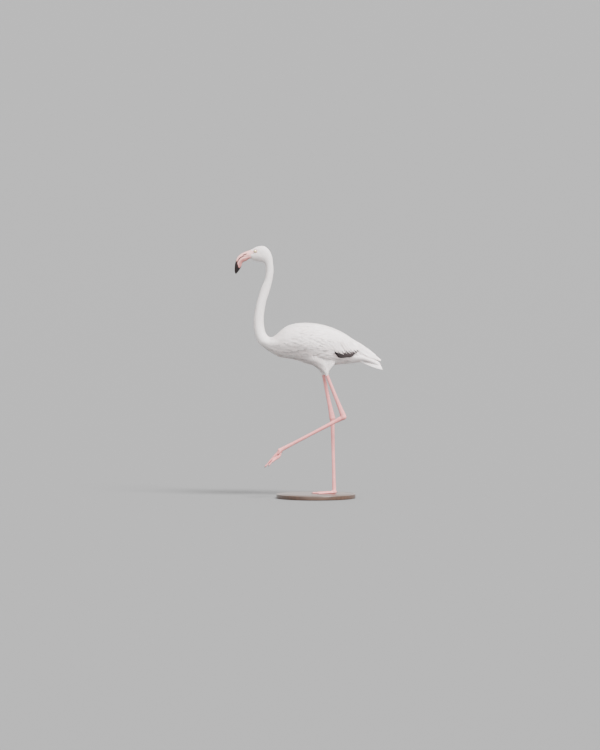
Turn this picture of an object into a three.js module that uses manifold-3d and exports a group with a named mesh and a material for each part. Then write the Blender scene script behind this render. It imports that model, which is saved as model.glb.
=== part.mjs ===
// A walking greater flamingo, life size, on a round display stand.
// The right foot is planted and the left leg swings forward.
// Millimetres, +Z up. The bird faces -X, its left side is -Y, and the origin is the centre of the stand's underside.
import * as THREE from "three";
import { mergeVertices } from "three/addons/utils/BufferGeometryUtils.js";
import Module from "manifold-3d";

const wasm = await Module();
wasm.setup();

// Driving sizes. Every height of the bird is measured from the sole of the planted foot.
const fitGap = 0.3; // left between pieces that touch
const standRadius = 170;
const standHeight = 18;
const standChamfer = 2.5;
const jointHeight = 8.5; // centre of the planted toe joint above the sole
const eyeRadius = 6.3;
const eyePlace = { x: -261, z: 1044.5, side: 11.9 };
const featherEdge = 1.2; // thinnest that the rim of a folded wing gets
const leftSide = -1;
const rightSide = 1;

// Materials, one for each kind of surface.
const surface = (color, roughness) => new THREE.MeshStandardMaterial({ color, roughness, metalness: 0 });
const plumage = surface(0xf4e9e6, 0.85);
const flightBlack = surface(0x201c1d, 0.7);
const legSkin = surface(0xdba0a2, 0.6);
const billPink = surface(0xe6bab6, 0.4);
const billBlack = surface(0x1b1718, 0.3);
const eyeYellow = surface(0xe9dd9a, 0.1);
const clawHorn = surface(0x4a3436, 0.5);
const standWood = surface(0x6b4a35, 0.45);

// Sections of the body from the face to the tail.
// Each row: back edge x, z, throat or belly edge x, z, half width, and how much fuller the section is towards the back.
const headSections = [
  [-290, 1046, -281, 1014, 12.5, 0],
  [-275, 1053, -270, 1006.5, 14.5, 0],
  [-259, 1061, -255, 1002, 17.5, 0],
  [-243, 1066, -242, 1000, 19.5, 0],
  [-224, 1066, -231, 998, 19.5, 0],
  [-204, 1052, -222, 993, 18, 0],
  [-191, 1028, -217, 983, 16, 0],
];
const neckSections = [
  [-185, 991, -215, 969, 14.5, 0],
  [-183, 957, -215, 950, 14, 0],
  [-187, 925, -219, 927, 14, 0],
  [-199, 876, -236, 884, 15, 0],
  [-213, 832, -251, 836, 16.5, 0],
  [-222, 787, -262, 789, 18, 0],
  [-225, 748, -267, 748, 19.5, 0],
  [-222, 714, -267, 711, 22, 0],
];
const trunkSections = [
  [-216, 692, -261, 681, 26, 0],
  [-205, 678, -248, 650, 32, 0.02],
  [-192, 674, -224, 630, 42, 0.05],
  [-175, 682, -194, 609, 54, 0.08],
  [-155, 700, -163, 593, 65, 0.1],
  [-129, 720, -129, 586, 74, 0.12],
  [-93, 732, -87, 578, 80, 0.12],
  [-50, 736, -44, 563, 82, 0.12],
  [0, 732, 0, 551, 79, 0.12],
  [43, 722, 40, 547, 73, 0.12],
  [85, 707, 79, 556, 64, 0.1],
  [125, 679, 121, 560, 52, 0.06],
  [160, 646, 157, 563, 41, 0],
];
const tailSections = [
  [196, 613, 193, 568, 33, 0],
  [241, 579, 237, 560, 24, 0],
  [271, 562, 265, 545, 15, 0],
  [288, 536, 287, 533, 5, 0],
];
const bodySections = [...headSections, ...neckSections, ...trunkSections, ...tailSections];

// Where the body is parted, counted in sections from the face.
const bodyParts = [
  { name: "head", from: 0, to: 6.6, sides: 18, steps: 1.8 },
  { name: "neck_upper", from: 6.6, to: 9, sides: 16, steps: 2 },
  { name: "neck_middle", from: 9, to: 11, sides: 16, steps: 2 },
  { name: "neck_lower", from: 11, to: 13.5, sides: 16, steps: 2 },
  { name: "neck_base", from: 13.5, to: 16.5, sides: 20, steps: 2 },
  { name: "trunk", from: 16.5, to: 27.4, sides: 20, steps: 1.2 },
  { name: "tail", from: 27.4, to: 31, sides: 14, steps: 1.7 },
];

// Folded wings and the black flight feathers that show below them.
// Each row: upper edge x, z, side, lower edge x, z, side, how far the outer face bulges, and thickness.
const wingSections = [
  [-150, 684, 60, -150, 660, 66, 2, 3],
  [-136, 702, 54, -138, 640, 73, 14, 10],
  [-118, 713, 49, -120, 630, 77, 18, 12],
  [-80, 725, 42, -80, 622, 82, 22, 14],
  [-30, 729, 33, -30, 614, 81, 27, 15],
  [26, 723, 24, 26, 604, 75, 30, 15],
  [82, 708.5, 15, 84, 594, 62, 30, 15],
  [132, 682.5, 8, 132, 588, 46, 26, 14],
  [186, 648.5, 4, 184, 581, 29, 15, 11],
  [236, 615.5, 2.5, 233, 573, 16, 7, 7],
  [279, 579.5, 2, 276, 571, 6, 2, 2.5],
];
const flightSections = [
  [84, 604, 56, 84, 596, 59, 1, 2],
  [93, 608, 54, 93, 584, 59, 4, 7],
  [128, 604, 42, 128, 583, 48, 5, 7],
  [160, 592, 33, 160, 582, 37, 4, 6],
  [172, 588, 30, 172, 584, 31, 1, 2],
];

// Bill stations from the face to the tip: ridge x, z, mouth line x, z, keel x, z, half width above and below the mouth.
const billSections = [
  [-290, 1046, -285.5, 1023, -281, 1014, 12, 11.5],
  [-305, 1040.5, -299.5, 1024, -292, 1009.5, 10.8, 12.2],
  [-319, 1033.5, -312, 1023.5, -300, 1002.5, 9.8, 13],
  [-331.5, 1024.5, -324.5, 1018, -310, 999.5, 9.2, 13.6],
  [-340, 1013, -333.5, 1008.5, -317, 993.5, 8.6, 13],
  [-345.5, 999.5, -339.5, 997, -319.5, 985.5, 8, 11.6],
  [-348.5, 985, -343, 983.5, -323, 975.5, 7, 9.6],
  [-349.7, 970, -345, 968.5, -329.5, 964, 5.6, 7],
  [-349.3, 957, -346, 955.5, -337.5, 953.5, 3.8, 4.4],
  [-347, 948, -345.5, 947, -343, 946, 1.6, 1.8],
];
const billParts = [
  { name: "bill_upper", half: "upper", from: 0, to: 4.6, material: billPink },
  { name: "bill_upper_tip", half: "upper", from: 4.6, to: 9, material: billBlack },
  { name: "bill_lower", half: "lower", from: 0, to: 5.9, material: billPink },
  { name: "bill_lower_tip", half: "lower", from: 5.9, to: 9, material: billBlack },
];

// Legs. Angles are in degrees; the side toes droop and sag below the middle one where the foot hangs.
// A thigh row: front edge x, z, back edge x, z, half width and distance from the middle of the bird.
const legs = [
  {
    side: leftSide,
    thigh: [
      [-28, 611, 84, 611, 20, 34],
      [-12, 573, 80, 575, 19, 35],
      [8, 549, 70, 550, 16, 38],
      [25, 535, 61, 535, 11.5, 41],
      [34.5, 524, 55, 524.5, 9.5, 43],
      [39, 515, 53, 516, 7, 43],
    ],
    knee: [46, 515, 43],
    ankle: [119, 333, 46],
    toeJoint: [-156, 189, 42],
    footPitch: 48,
    footTurn: 0,
    toeSpread: 11,
    toeDroop: 5.5,
    toeSag: 13,
    hindDrop: 82,
    planted: false,
  },
  {
    side: rightSide,
    thigh: [
      [-41, 611, 71, 611, 20, 34],
      [-25, 573, 66, 575, 19, 35],
      [-8, 549, 56, 550, 16, 37],
      [9, 535, 47, 535, 11.5, 39.5],
      [20, 523, 41, 524, 9.5, 40],
      [24, 513, 39, 514, 7, 40],
    ],
    knee: [31.5, 513.5, 40],
    ankle: [70.5, 324, 34],
    toeJoint: [78.5, jointHeight, 16],
    footPitch: 0,
    footTurn: 3,
    toeSpread: 29,
    toeDroop: 0,
    toeSag: 0,
    hindDrop: 30,
    planted: true,
  },
];
// Share of the way down, front-to-back radius and side-to-side radius of the bare leg.
const shinSections = [
  [0, 7, 6.6],
  [0.26, 7.2, 6.2],
  [0.62, 8.2, 6.6],
  [0.82, 9.8, 7.6],
  [0.94, 11.8, 9.2],
  [1, 12, 9.6],
  [1.045, 9, 8],
  [1.06, 4, 4],
];
const tarsusSections = [
  [-0.03, 5, 5],
  [0, 11, 9],
  [0.05, 9.8, 8.2],
  [0.14, 8, 6.2],
  [0.5, 6.8, 5.2],
  [0.8, 7, 5.4],
  [0.95, 8.2, 7],
];

// Toes of one foot: angle in units of the spread, length, radius at the root and at the tip.
const toes = [
  { name: "outer", angle: -1, length: 78, root: 5.4, tip: 2.8 },
  { name: "middle", angle: 0, length: 91, root: 5.8, tip: 3 },
  { name: "inner", angle: 1, length: 72, root: 5.4, tip: 2.8 },
];
const hindToe = { length: 13, root: 2.9, tip: 1.7, rise: 4.5 };
const claw = { length: 8.5, base: 2.5, tip: 0.5 };
const hindClaw = { length: 4.5, base: 1.5, tip: 0.4 };
const webThickness = 2;
const webReach = 0.86; // share of each toe that the web runs along
const webScoop = 0.34; // how far the web's free edge dips back at mid gap, as a share of its reach

const radians = THREE.MathUtils.degToRad;

// Smooth curve through rows of numbers; `along` gives each row's place on it.
function rowCurve(rows, along) {
  const slope = (i, k) => {
    const a = Math.max(i - 1, 0);
    const b = Math.min(i + 1, rows.length - 1);
    const before = i > a ? (rows[i][k] - rows[a][k]) / (along[i] - along[a]) : null;
    const after = b > i ? (rows[b][k] - rows[i][k]) / (along[b] - along[i]) : null;
    if (before === null) return after;
    if (after === null) return before;
    return (before * (along[b] - along[i]) + after * (along[i] - along[a])) / (along[b] - along[a]);
  };
  return (index) => {
    const i = Math.min(Math.floor(index), rows.length - 2);
    const t = index - i;
    const span = along[i + 1] - along[i];
    return rows[i].map((from, k) => {
      const to = rows[i + 1][k];
      const h = t * t * (3 - 2 * t);
      return (
        from * (1 - h) +
        to * h +
        span * (slope(i, k) * t * (1 - t) * (1 - t) - slope(i + 1, k) * t * t * (1 - t))
      );
    });
  };
}

// Running length through the middles of a list of rows, so that uneven sections still blend smoothly.
function runningLength(middles) {
  const lengths = [0];
  for (let i = 1; i < middles.length; i += 1) {
    lengths.push(lengths[i - 1] + Math.max(middles[i].distanceTo(middles[i - 1]), 1e-3));
  }
  return lengths;
}

const spread = (from, to, count) => Array.from({ length: count + 1 }, (_, i) => from + ((to - from) * i) / count);

// Closed solid through rings of equal point counts, with a fan over each end.
function loft(rings) {
  const sides = rings[0].length;
  const positions = [];
  const faces = [];
  rings.forEach((ring) => ring.forEach((p) => positions.push(p.x, p.y, p.z)));
  for (let r = 0; r + 1 < rings.length; r += 1) {
    for (let s = 0; s < sides; s += 1) {
      const a = r * sides + s;
      const b = r * sides + ((s + 1) % sides);
      faces.push(a, b, b + sides, a, b + sides, a + sides);
    }
  }
  [0, rings.length - 1].forEach((r, end) => {
    const hub = positions.length / 3;
    const centre = rings[r].reduce((sum, p) => sum.add(p), new THREE.Vector3()).divideScalar(sides);
    positions.push(centre.x, centre.y, centre.z);
    for (let s = 0; s < sides; s += 1) {
      const a = r * sides + s;
      const b = r * sides + ((s + 1) % sides);
      faces.push(...(end ? [hub, a, b] : [hub, b, a]));
    }
  });
  const geometry = new THREE.BufferGeometry();
  geometry.setAttribute("position", new THREE.Float32BufferAttribute(positions, 3));
  geometry.setIndex(faces);
  return asSolid(geometry);
}

// A closed geometry as a manifold solid, turned the right way out.
function asSolid(geometry) {
  const plain = geometry.clone();
  plain.deleteAttribute("normal");
  plain.deleteAttribute("uv");
  const merged = mergeVertices(plain, 1e-4);
  const make = (triVerts) =>
    new wasm.Manifold(new wasm.Mesh({ numProp: 3, vertProperties: merged.attributes.position.array, triVerts }));
  const corners = new Uint32Array(merged.index.array);
  const solid = make(corners);
  return solid.volume() > 0 ? solid : make(corners.slice().reverse());
}

function asGeometry(solid) {
  const { vertProperties, triVerts } = solid.getMesh();
  const geometry = new THREE.BufferGeometry();
  geometry.setAttribute("position", new THREE.BufferAttribute(new Float32Array(vertProperties), 3));
  geometry.setIndex(new THREE.BufferAttribute(new Uint32Array(triVerts), 1));
  geometry.computeVertexNormals();
  return geometry;
}

// The largest piece of a cut solid, without the slivers that a cut can leave.
const largest = (solid) => solid.decompose().sort((a, b) => b.volume() - a.volume())[0];

function meshOf(name, solid, material) {
  const mesh = new THREE.Mesh(asGeometry(solid), material);
  mesh.name = name;
  return mesh;
}

// Body: an egg-shaped ring stands on each pair of back and belly edges.
const bodyMiddles = bodySections.map(([bx, bz, fx, fz]) => new THREE.Vector3((bx + fx) / 2, 0, (bz + fz) / 2));
const bodyAt = rowCurve(bodySections, runningLength(bodyMiddles));

function bodyRing(index, sides, grow) {
  const [backX, backZ, frontX, frontZ, half, fuller] = bodyAt(index);
  const middle = new THREE.Vector3((backX + frontX) / 2, 0, (backZ + frontZ) / 2);
  const up = new THREE.Vector3(backX, 0, backZ).sub(middle);
  up.setLength(up.length() + grow);
  return spread(0, 2 * Math.PI, sides)
    .slice(0, sides)
    .map((angle) => {
      const side = (half + grow) * Math.sin(angle) * (1 + fuller * Math.cos(angle));
      return middle.clone().addScaledVector(up, Math.cos(angle)).setY(side);
    });
}

// Sections to hold back at a cut so that both edges of the ring keep half a gap.
function halfGap(index) {
  const near = bodyAt(Math.max(index - 0.01, 0));
  const far = bodyAt(Math.min(index + 0.01, bodySections.length - 1));
  const back = Math.hypot(far[0] - near[0], far[1] - near[1]);
  const belly = Math.hypot(far[2] - near[2], far[3] - near[3]);
  return ((fitGap / 2) * 0.02) / Math.min(back, belly);
}

function bodyPiece({ from, to, sides, steps }, grow = 0) {
  const last = bodySections.length - 1;
  const start = from > 0 ? from + halfGap(from) : from;
  const end = to < last ? to - halfGap(to) : to;
  const rings = spread(start, end, Math.round((to - from) * steps)).map((i) => bodyRing(i, sides, grow));
  return loft(rings);
}

// Flat closed outline pushed outwards by the same distance all round.
function grownRing(ring, grow) {
  const count = ring.length;
  const facing = new THREE.Vector3();
  ring.forEach((p, i) => facing.add(p.clone().cross(ring[(i + 1) % count])));
  facing.normalize();
  return ring.map((p, i) => {
    const before = p.clone().sub(ring[(i + count - 1) % count]).normalize().cross(facing);
    const after = ring[(i + 1) % count].clone().sub(p).normalize().cross(facing);
    const outward = before.add(after).divideScalar(2);
    return p.clone().addScaledVector(outward, grow / Math.max(outward.lengthSq(), 0.25));
  });
}

// Wing or flight feathers of one side: a crescent between its upper and lower edge, laid over the flank.
function wingSolid(sections, side, grow = 0) {
  const middles = sections.map((row) => new THREE.Vector3(row[0], row[2], row[1]));
  const at = rowCurve(sections, runningLength(middles));
  const across = 5;
  const rings = spread(0, sections.length - 1, Math.round((sections.length - 1) * 1.5)).map((index) => {
    const [topX, topZ, topSide, lowX, lowZ, lowSide, bulge, thick] = at(index);
    const top = new THREE.Vector3(topX, topSide, topZ);
    const half = new THREE.Vector3(lowX, lowSide, lowZ).sub(top).divideScalar(2);
    const middle = top.clone().add(half);
    const out = new THREE.Vector3(0, -half.z, half.y).normalize();
    const face = (lift, shift) =>
      spread(0, Math.PI, across).map((angle) =>
        middle
          .clone()
          .addScaledVector(half, -Math.cos(angle))
          .addScaledVector(out, lift * Math.sin(angle) + shift),
      );
    const inner = face(bulge - thick, -featherEdge / 2).reverse();
    const ring = grownRing([...face(bulge, featherEdge / 2), ...inner], grow);
    return ring.map((p) => p.setY(p.y * side));
  });
  rings[0].forEach((p) => p.setX(p.x - grow));
  rings[rings.length - 1].forEach((p) => p.setX(p.x + grow));
  return loft(rings);
}

// One half of the bill: a half-round ring between the mouth line and the ridge or keel.
const billMiddles = billSections.map((row) => new THREE.Vector3(row[2], 0, row[3]));
const billAt = rowCurve(billSections, runningLength(billMiddles));

function billPiece({ half, from, to }) {
  const gapSections = 0.02;
  const start = from + gapSections;
  const end = to < billSections.length - 1 ? to - gapSections : to;
  const rings = spread(start, end, Math.round((to - from) * 2)).map((index) => {
    const row = billAt(index);
    const mouth = new THREE.Vector3(row[2], 0, row[3]);
    const edge = half === "upper" ? new THREE.Vector3(row[0], 0, row[1]) : new THREE.Vector3(row[4], 0, row[5]);
    const rise = edge.sub(mouth);
    const foot = mouth.addScaledVector(rise.clone().normalize(), fitGap / 2);
    const width = half === "upper" ? row[6] : row[7];
    return spread(0, Math.PI, 8).map((angle) =>
      foot
        .clone()
        .addScaledVector(rise, Math.sin(angle) ** 0.85)
        .setY(width * Math.cos(angle)),
    );
  });
  return loft(rings);
}

const ball = (radius, around = 9) => asSolid(new THREE.SphereGeometry(radius, around, Math.round(around * 0.66)));

function eyeSolid(side, grow = 0) {
  return ball(eyeRadius + grow, 11).translate([eyePlace.x, side * eyePlace.side, eyePlace.z]);
}

// Thigh: rings on pairs of front and back edges, from inside the belly down to the bare leg.
function thighSolid({ side, thigh }) {
  const middles = thigh.map(([fx, fz, bx, bz]) => new THREE.Vector3((fx + bx) / 2, 0, (fz + bz) / 2));
  const at = rowCurve(thigh, runningLength(middles));
  const sides = 14;
  const rings = spread(0, thigh.length - 1, 7).map((index) => {
    const [frontX, frontZ, backX, backZ, half, out] = at(index);
    const middle = new THREE.Vector3((frontX + backX) / 2, side * out, (frontZ + backZ) / 2);
    const back = new THREE.Vector3(backX, side * out, backZ).sub(middle);
    return spread(0, 2 * Math.PI, sides)
      .slice(0, sides)
      .map((angle) =>
        middle
          .clone()
          .addScaledVector(back, Math.cos(angle))
          .add(new THREE.Vector3(0, half * Math.sin(angle), 0)),
      );
  });
  return loft(rings);
}

// Straight round bone with skin: oval rings from one joint to the next.
function boneSolid(from, to, sections, grow = 0) {
  const along = to.clone().sub(from);
  const sideways = new THREE.Vector3(0, 1, 0);
  const foreAft = sideways.clone().cross(along).normalize();
  const middles = sections.map((row) => new THREE.Vector3(row[0] * along.length(), 0, 0));
  const at = rowCurve(sections, runningLength(middles));
  const sides = 10;
  const rings = spread(0, sections.length - 1, Math.round((sections.length - 1) * 1.5)).map((index) => {
    const [share, deep, wide] = at(index);
    const middle = from.clone().addScaledVector(along, share);
    return spread(0, 2 * Math.PI, sides)
      .slice(0, sides)
      .map((angle) =>
        middle
          .clone()
          .addScaledVector(foreAft, (deep + grow) * Math.cos(angle))
          .addScaledVector(sideways, (wide + grow) * Math.sin(angle)),
      );
  });
  return loft(rings);
}

// The way a front toe points in the foot's own frame, where ahead is -X and the sole faces down.
function toeWay({ angle }, { toeSpread, toeDroop }) {
  const turn = radians(angle * toeSpread);
  const droop = radians(Math.abs(angle) * toeDroop);
  return new THREE.Vector3(-Math.cos(turn) * Math.cos(droop), Math.sin(turn) * Math.cos(droop), -Math.sin(droop));
}

// Middle of a toe, t of the way to its tip, and its radius there, which swells at the knuckles.
// A planted toe comes down to the sole. The side toes of a hanging foot sag behind their first knuckle.
function toeAt(toe, leg, t) {
  const radius = (toe.root + (toe.tip - toe.root) * t) * (1 + 0.08 * Math.cos(t * 6 * Math.PI));
  const settle = Math.min(t / 0.2, 1);
  const drop = leg.planted ? (radius - jointHeight - 0.3) * settle * settle * (3 - 2 * settle) : 0;
  const sag = Math.abs(toe.angle) * leg.toeSag * Math.sin(Math.PI * Math.sqrt(t)) ** 2;
  const middle = toeWay(toe, leg).multiplyScalar(toe.length * t);
  return { radius, middle: middle.add(new THREE.Vector3(0, 0, drop - sag)) };
}

function toeSolid(toe, leg) {
  const way = toeWay(toe, leg);
  const across = new THREE.Vector3(0, 0, 1).cross(way).normalize();
  const upward = way.clone().cross(across).normalize();
  const sides = 7;
  const rings = spread(0, 1, 6).map((t) => {
    const { radius, middle } = toeAt(toe, leg, t);
    return spread(0, 2 * Math.PI, sides)
      .slice(0, sides)
      .map((a) =>
        middle
          .clone()
          .addScaledVector(across, radius * Math.cos(a))
          .addScaledVector(upward, radius * Math.sin(a)),
      );
  });
  return loft(rings);
}

// Web between two neighbouring toes: a thin slab from one to the other, with a free edge that dips back between them.
function webSolid(first, second, leg) {
  const half = new THREE.Vector3(0, 0, webThickness / 2);
  const rings = spread(0.06, webReach, 3).map((t) => {
    const ends = [first, second].map((toe) => toeAt(toe, leg, t).middle);
    const middles = spread(0, 1, 3).map((w) => {
      const dip = webScoop * 4 * w * (1 - w) * (t / webReach) ** 2;
      const point = ends[0].clone().lerp(ends[1], w).multiplyScalar(1 - dip);
      return leg.planted ? point.setZ(webThickness / 2 - jointHeight * Math.min(t / 0.2, 1)) : point;
    });
    const top = middles.map((point) => point.clone().add(half));
    const under = middles.map((point) => point.clone().sub(half));
    return [...top, ...under.reverse()];
  });
  return loft(rings);
}

// The short hind toe starts above the joint and points back, or hangs when the foot swings.
const hindDirection = (drop) => new THREE.Vector3(Math.cos(radians(drop)), 0, -Math.sin(radians(drop)));
const hindRoot = (drop) => new THREE.Vector3(0, 0, hindToe.rise * Math.cos(radians(drop)));

function hindToeSolid(drop) {
  const from = hindRoot(drop);
  const to = from.clone().addScaledVector(hindDirection(drop), hindToe.length);
  return boneSolid(from, to, [
    [0, hindToe.root, hindToe.root],
    [0.55, hindToe.root * 0.85, hindToe.root * 0.85],
    [1, hindToe.tip, hindToe.tip],
  ]);
}

function footSolid(leg) {
  const joint = ball(8).scale([1.05, 1.05, 1]);
  const pad = ball(1).scale([14, 9.5, 6.5]).translate([-8, 0, -4.5]);
  const webs = [webSolid(toes[0], toes[1], leg), webSolid(toes[1], toes[2], leg)];
  const pieces = [joint, pad, hindToeSolid(leg.hindDrop), ...webs, ...toes.map((toe) => toeSolid(toe, leg))];
  const whole = pieces.reduce((sum, piece) => sum.add(piece));
  return leg.planted ? whole.trimByPlane([0, 0, 1], -jointHeight) : whole;
}

// Claw that starts a gap past its toe and curves down to a blunt point.
function clawSolid({ length, base, tip }, start, ahead) {
  const across = new THREE.Vector3(0, 0, 1).cross(ahead).normalize();
  const upward = ahead.clone().cross(across).normalize();
  const sides = 6;
  const rings = spread(0, 1, 3).map((t) => {
    const radius = base + (tip - base) * t ** 1.3;
    const middle = start
      .clone()
      .addScaledVector(ahead, fitGap + length * t)
      .addScaledVector(upward, (tip - base) * t * t);
    return spread(0, 2 * Math.PI, sides)
      .slice(0, sides)
      .map((a) =>
        middle
          .clone()
          .addScaledVector(across, radius * 0.8 * Math.cos(a))
          .addScaledVector(upward, radius * Math.sin(a)),
      );
  });
  return loft(rings);
}

function clawSolids(leg) {
  const front = toes.map((toe) => {
    const way = toeWay(toe, leg);
    const start = way.clone().multiplyScalar(toe.length);
    if (leg.planted) start.setZ(toe.tip * 1.1 - jointHeight);
    return { name: toe.name, solid: clawSolid(claw, start, way) };
  });
  const back = hindDirection(leg.hindDrop);
  const hindStart = hindRoot(leg.hindDrop).addScaledVector(back, hindToe.length);
  return [...front, { name: "hind", solid: clawSolid(hindClaw, hindStart, back) }];
}

// One leg: thigh, shin, tarsus, and a foot in a group of its own that is turned to its pitch.
function buildLeg(leg, grownTrunk) {
  const label = leg.side === leftSide ? "left" : "right";
  const place = ([x, z, out]) => new THREE.Vector3(x, leg.side * out, z);
  const knee = place(leg.knee);
  const ankle = place(leg.ankle);
  const toeJoint = place(leg.toeJoint);
  const group = new THREE.Group();

  const thigh = largest(thighSolid(leg).subtract(grownTrunk));
  group.add(meshOf(`thigh_${label}`, thigh, plumage));

  const shinStart = knee.clone().addScaledVector(ankle.clone().sub(knee).normalize(), fitGap * 2);
  const shin = largest(boneSolid(shinStart, ankle, shinSections).subtract(thigh));
  group.add(meshOf(`shin_${label}`, shin, legSkin));

  const footRotation = new THREE.Euler(0, -radians(leg.footPitch), radians(leg.footTurn * leg.side), "ZYX");
  const footMatrix = new THREE.Matrix4().makeRotationFromEuler(footRotation).setPosition(toeJoint);
  const foot = footSolid(leg);
  const grownShin = boneSolid(shinStart, ankle, shinSections, fitGap);
  const grownFoot = foot.transform(footMatrix.elements).add(ball(9.2).translate(toeJoint.toArray()));
  const tarsus = boneSolid(ankle, toeJoint, tarsusSections).subtract(grownShin).subtract(grownFoot);
  group.add(meshOf(`tarsus_${label}`, largest(tarsus), legSkin));

  const footGroup = new THREE.Group();
  footGroup.applyMatrix4(footMatrix);
  footGroup.add(meshOf(`foot_${label}`, foot, legSkin));
  clawSolids(leg).forEach(({ name, solid }) => {
    footGroup.add(meshOf(`claw_${label}_${name}`, solid, clawHorn));
  });
  group.add(footGroup);
  return group;
}

// The bird, standing on z = 0 of its own group.
function buildBird() {
  const bird = new THREE.Group();
  const sides = [
    { label: "left", side: leftSide },
    { label: "right", side: rightSide },
  ];
  const wingCuts = sides.flatMap(({ side }) => [
    wingSolid(wingSections, side, fitGap),
    wingSolid(flightSections, side, fitGap),
  ]);
  const eyeCuts = sides.map(({ side }) => eyeSolid(side, fitGap));

  bodyParts.forEach((part) => {
    const cuts = { head: eyeCuts, neck_base: wingCuts, trunk: wingCuts, tail: wingCuts }[part.name] ?? [];
    const solid = cuts.reduce((whole, cut) => whole.subtract(cut), bodyPiece(part));
    bird.add(meshOf(part.name, largest(solid), plumage));
  });
  sides.forEach(({ label, side }) => {
    const wing = wingSolid(wingSections, side);
    const flight = wingSolid(flightSections, side).subtract(wingSolid(wingSections, side, fitGap));
    bird.add(meshOf(`wing_${label}`, wing, plumage));
    bird.add(meshOf(`flight_feathers_${label}`, largest(flight), flightBlack));
    bird.add(meshOf(`eye_${label}`, eyeSolid(side), eyeYellow));
  });
  billParts.forEach((part) => bird.add(meshOf(part.name, billPiece(part), part.material)));

  const grownTrunk = bodyPiece(bodyParts.find((part) => part.name === "trunk"), fitGap);
  legs.forEach((leg) => bird.add(buildLeg(leg, grownTrunk)));
  return bird;
}

function buildStand() {
  const profile = [
    [0, 0],
    [standRadius - standChamfer, 0],
    [standRadius, standChamfer],
    [standRadius, standHeight - standChamfer],
    [standRadius - standChamfer, standHeight],
    [0, standHeight],
  ].map(([radius, height]) => new THREE.Vector2(radius, height));
  const disc = new THREE.LatheGeometry(profile, 40).rotateX(Math.PI / 2);
  return meshOf("stand_base", asSolid(disc), standWood);
}

const flamingo = new THREE.Group();
const bird = buildBird();
bird.position.z = standHeight + fitGap;
flamingo.add(bird, buildStand());

export default flamingo;
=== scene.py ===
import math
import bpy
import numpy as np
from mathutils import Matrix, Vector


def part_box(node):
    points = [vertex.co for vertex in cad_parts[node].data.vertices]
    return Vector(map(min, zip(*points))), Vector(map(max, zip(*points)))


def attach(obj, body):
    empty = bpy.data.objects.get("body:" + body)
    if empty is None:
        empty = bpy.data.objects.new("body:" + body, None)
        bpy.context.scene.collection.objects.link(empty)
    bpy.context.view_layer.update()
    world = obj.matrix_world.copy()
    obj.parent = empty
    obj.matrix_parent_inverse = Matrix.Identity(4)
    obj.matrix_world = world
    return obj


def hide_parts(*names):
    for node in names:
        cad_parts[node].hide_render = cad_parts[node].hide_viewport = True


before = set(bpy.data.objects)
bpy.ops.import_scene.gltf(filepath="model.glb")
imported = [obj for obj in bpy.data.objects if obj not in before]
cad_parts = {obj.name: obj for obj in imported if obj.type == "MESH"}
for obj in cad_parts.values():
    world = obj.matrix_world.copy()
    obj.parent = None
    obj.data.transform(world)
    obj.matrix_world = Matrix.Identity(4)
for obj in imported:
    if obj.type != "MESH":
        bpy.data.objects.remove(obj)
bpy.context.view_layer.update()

# A greater flamingo in mid stride on a round display base: one skin, its plumage, bill, eyes and claws, the
# base, the light and the camera. The bird faces -X and its left side is -Y. Sections are in millimetres
# above the planted sole; meshes are in metres.
import openvdb

mm = 0.001
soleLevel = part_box("foot_right")[0][2]
rng = np.random.default_rng(20)


def toMetres(points):
    # From millimetres above the planted sole to the frame.
    return points * mm + [0, 0, soleLevel]


def toMillimetres(points):
    # The other way, as x, y and z.
    return points[..., 0] / mm, points[..., 1] / mm, (points[..., 2] - soleLevel) / mm


# Curves and surfaces


def smoothStep(low, high, x):
    # 0 below low, 1 above high, and 3t^2 - 2t^3 between them.
    t = np.clip((np.asarray(x, float) - low) / (high - low), 0, 1)
    return t * t * (3 - 2 * t)


def bell(x, middle, width):
    # 1 at the middle, falling off as exp(-(distance / width)^2).
    return np.exp(-((x - middle) / width) ** 2)


def sectionCurve(rows, middles):
    # A cubic between each pair of rows. Its slope at a row is the mean of the slopes on both sides, weighted
    # by the opposite lengths. Past either end it runs on straight.
    rows = np.asarray(rows, float)
    gaps = np.maximum(np.linalg.norm(np.diff(middles, axis=0), axis=1), 1e-3)
    span = np.diff(np.concatenate([[0], np.cumsum(gaps)]))
    step = np.diff(rows, axis=0) / span[:, None]
    slope = np.empty_like(rows)
    slope[0], slope[-1] = step[0], step[-1]
    weighted = step[:-1] * span[1:, None] + step[1:] * span[:-1, None]
    slope[1:-1] = weighted / (span[1:] + span[:-1])[:, None]

    def at(index):
        index = np.asarray(index, float)
        i = np.clip(np.floor(index).astype(int), 0, len(rows) - 2)
        t = np.clip(index - i, 0, 1)[..., None]
        past = (index - i)[..., None] - t
        length = span[i][..., None]
        h = t * t * (3 - 2 * t)
        bend = slope[i] * t * (1 - t) ** 2 - slope[i + 1] * t * t * (1 - t)
        cubic = rows[i] * (1 - h) + rows[i + 1] * h + length * bend
        return cubic + past * length * np.where(past < 0, slope[i], slope[i + 1])

    return at


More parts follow.
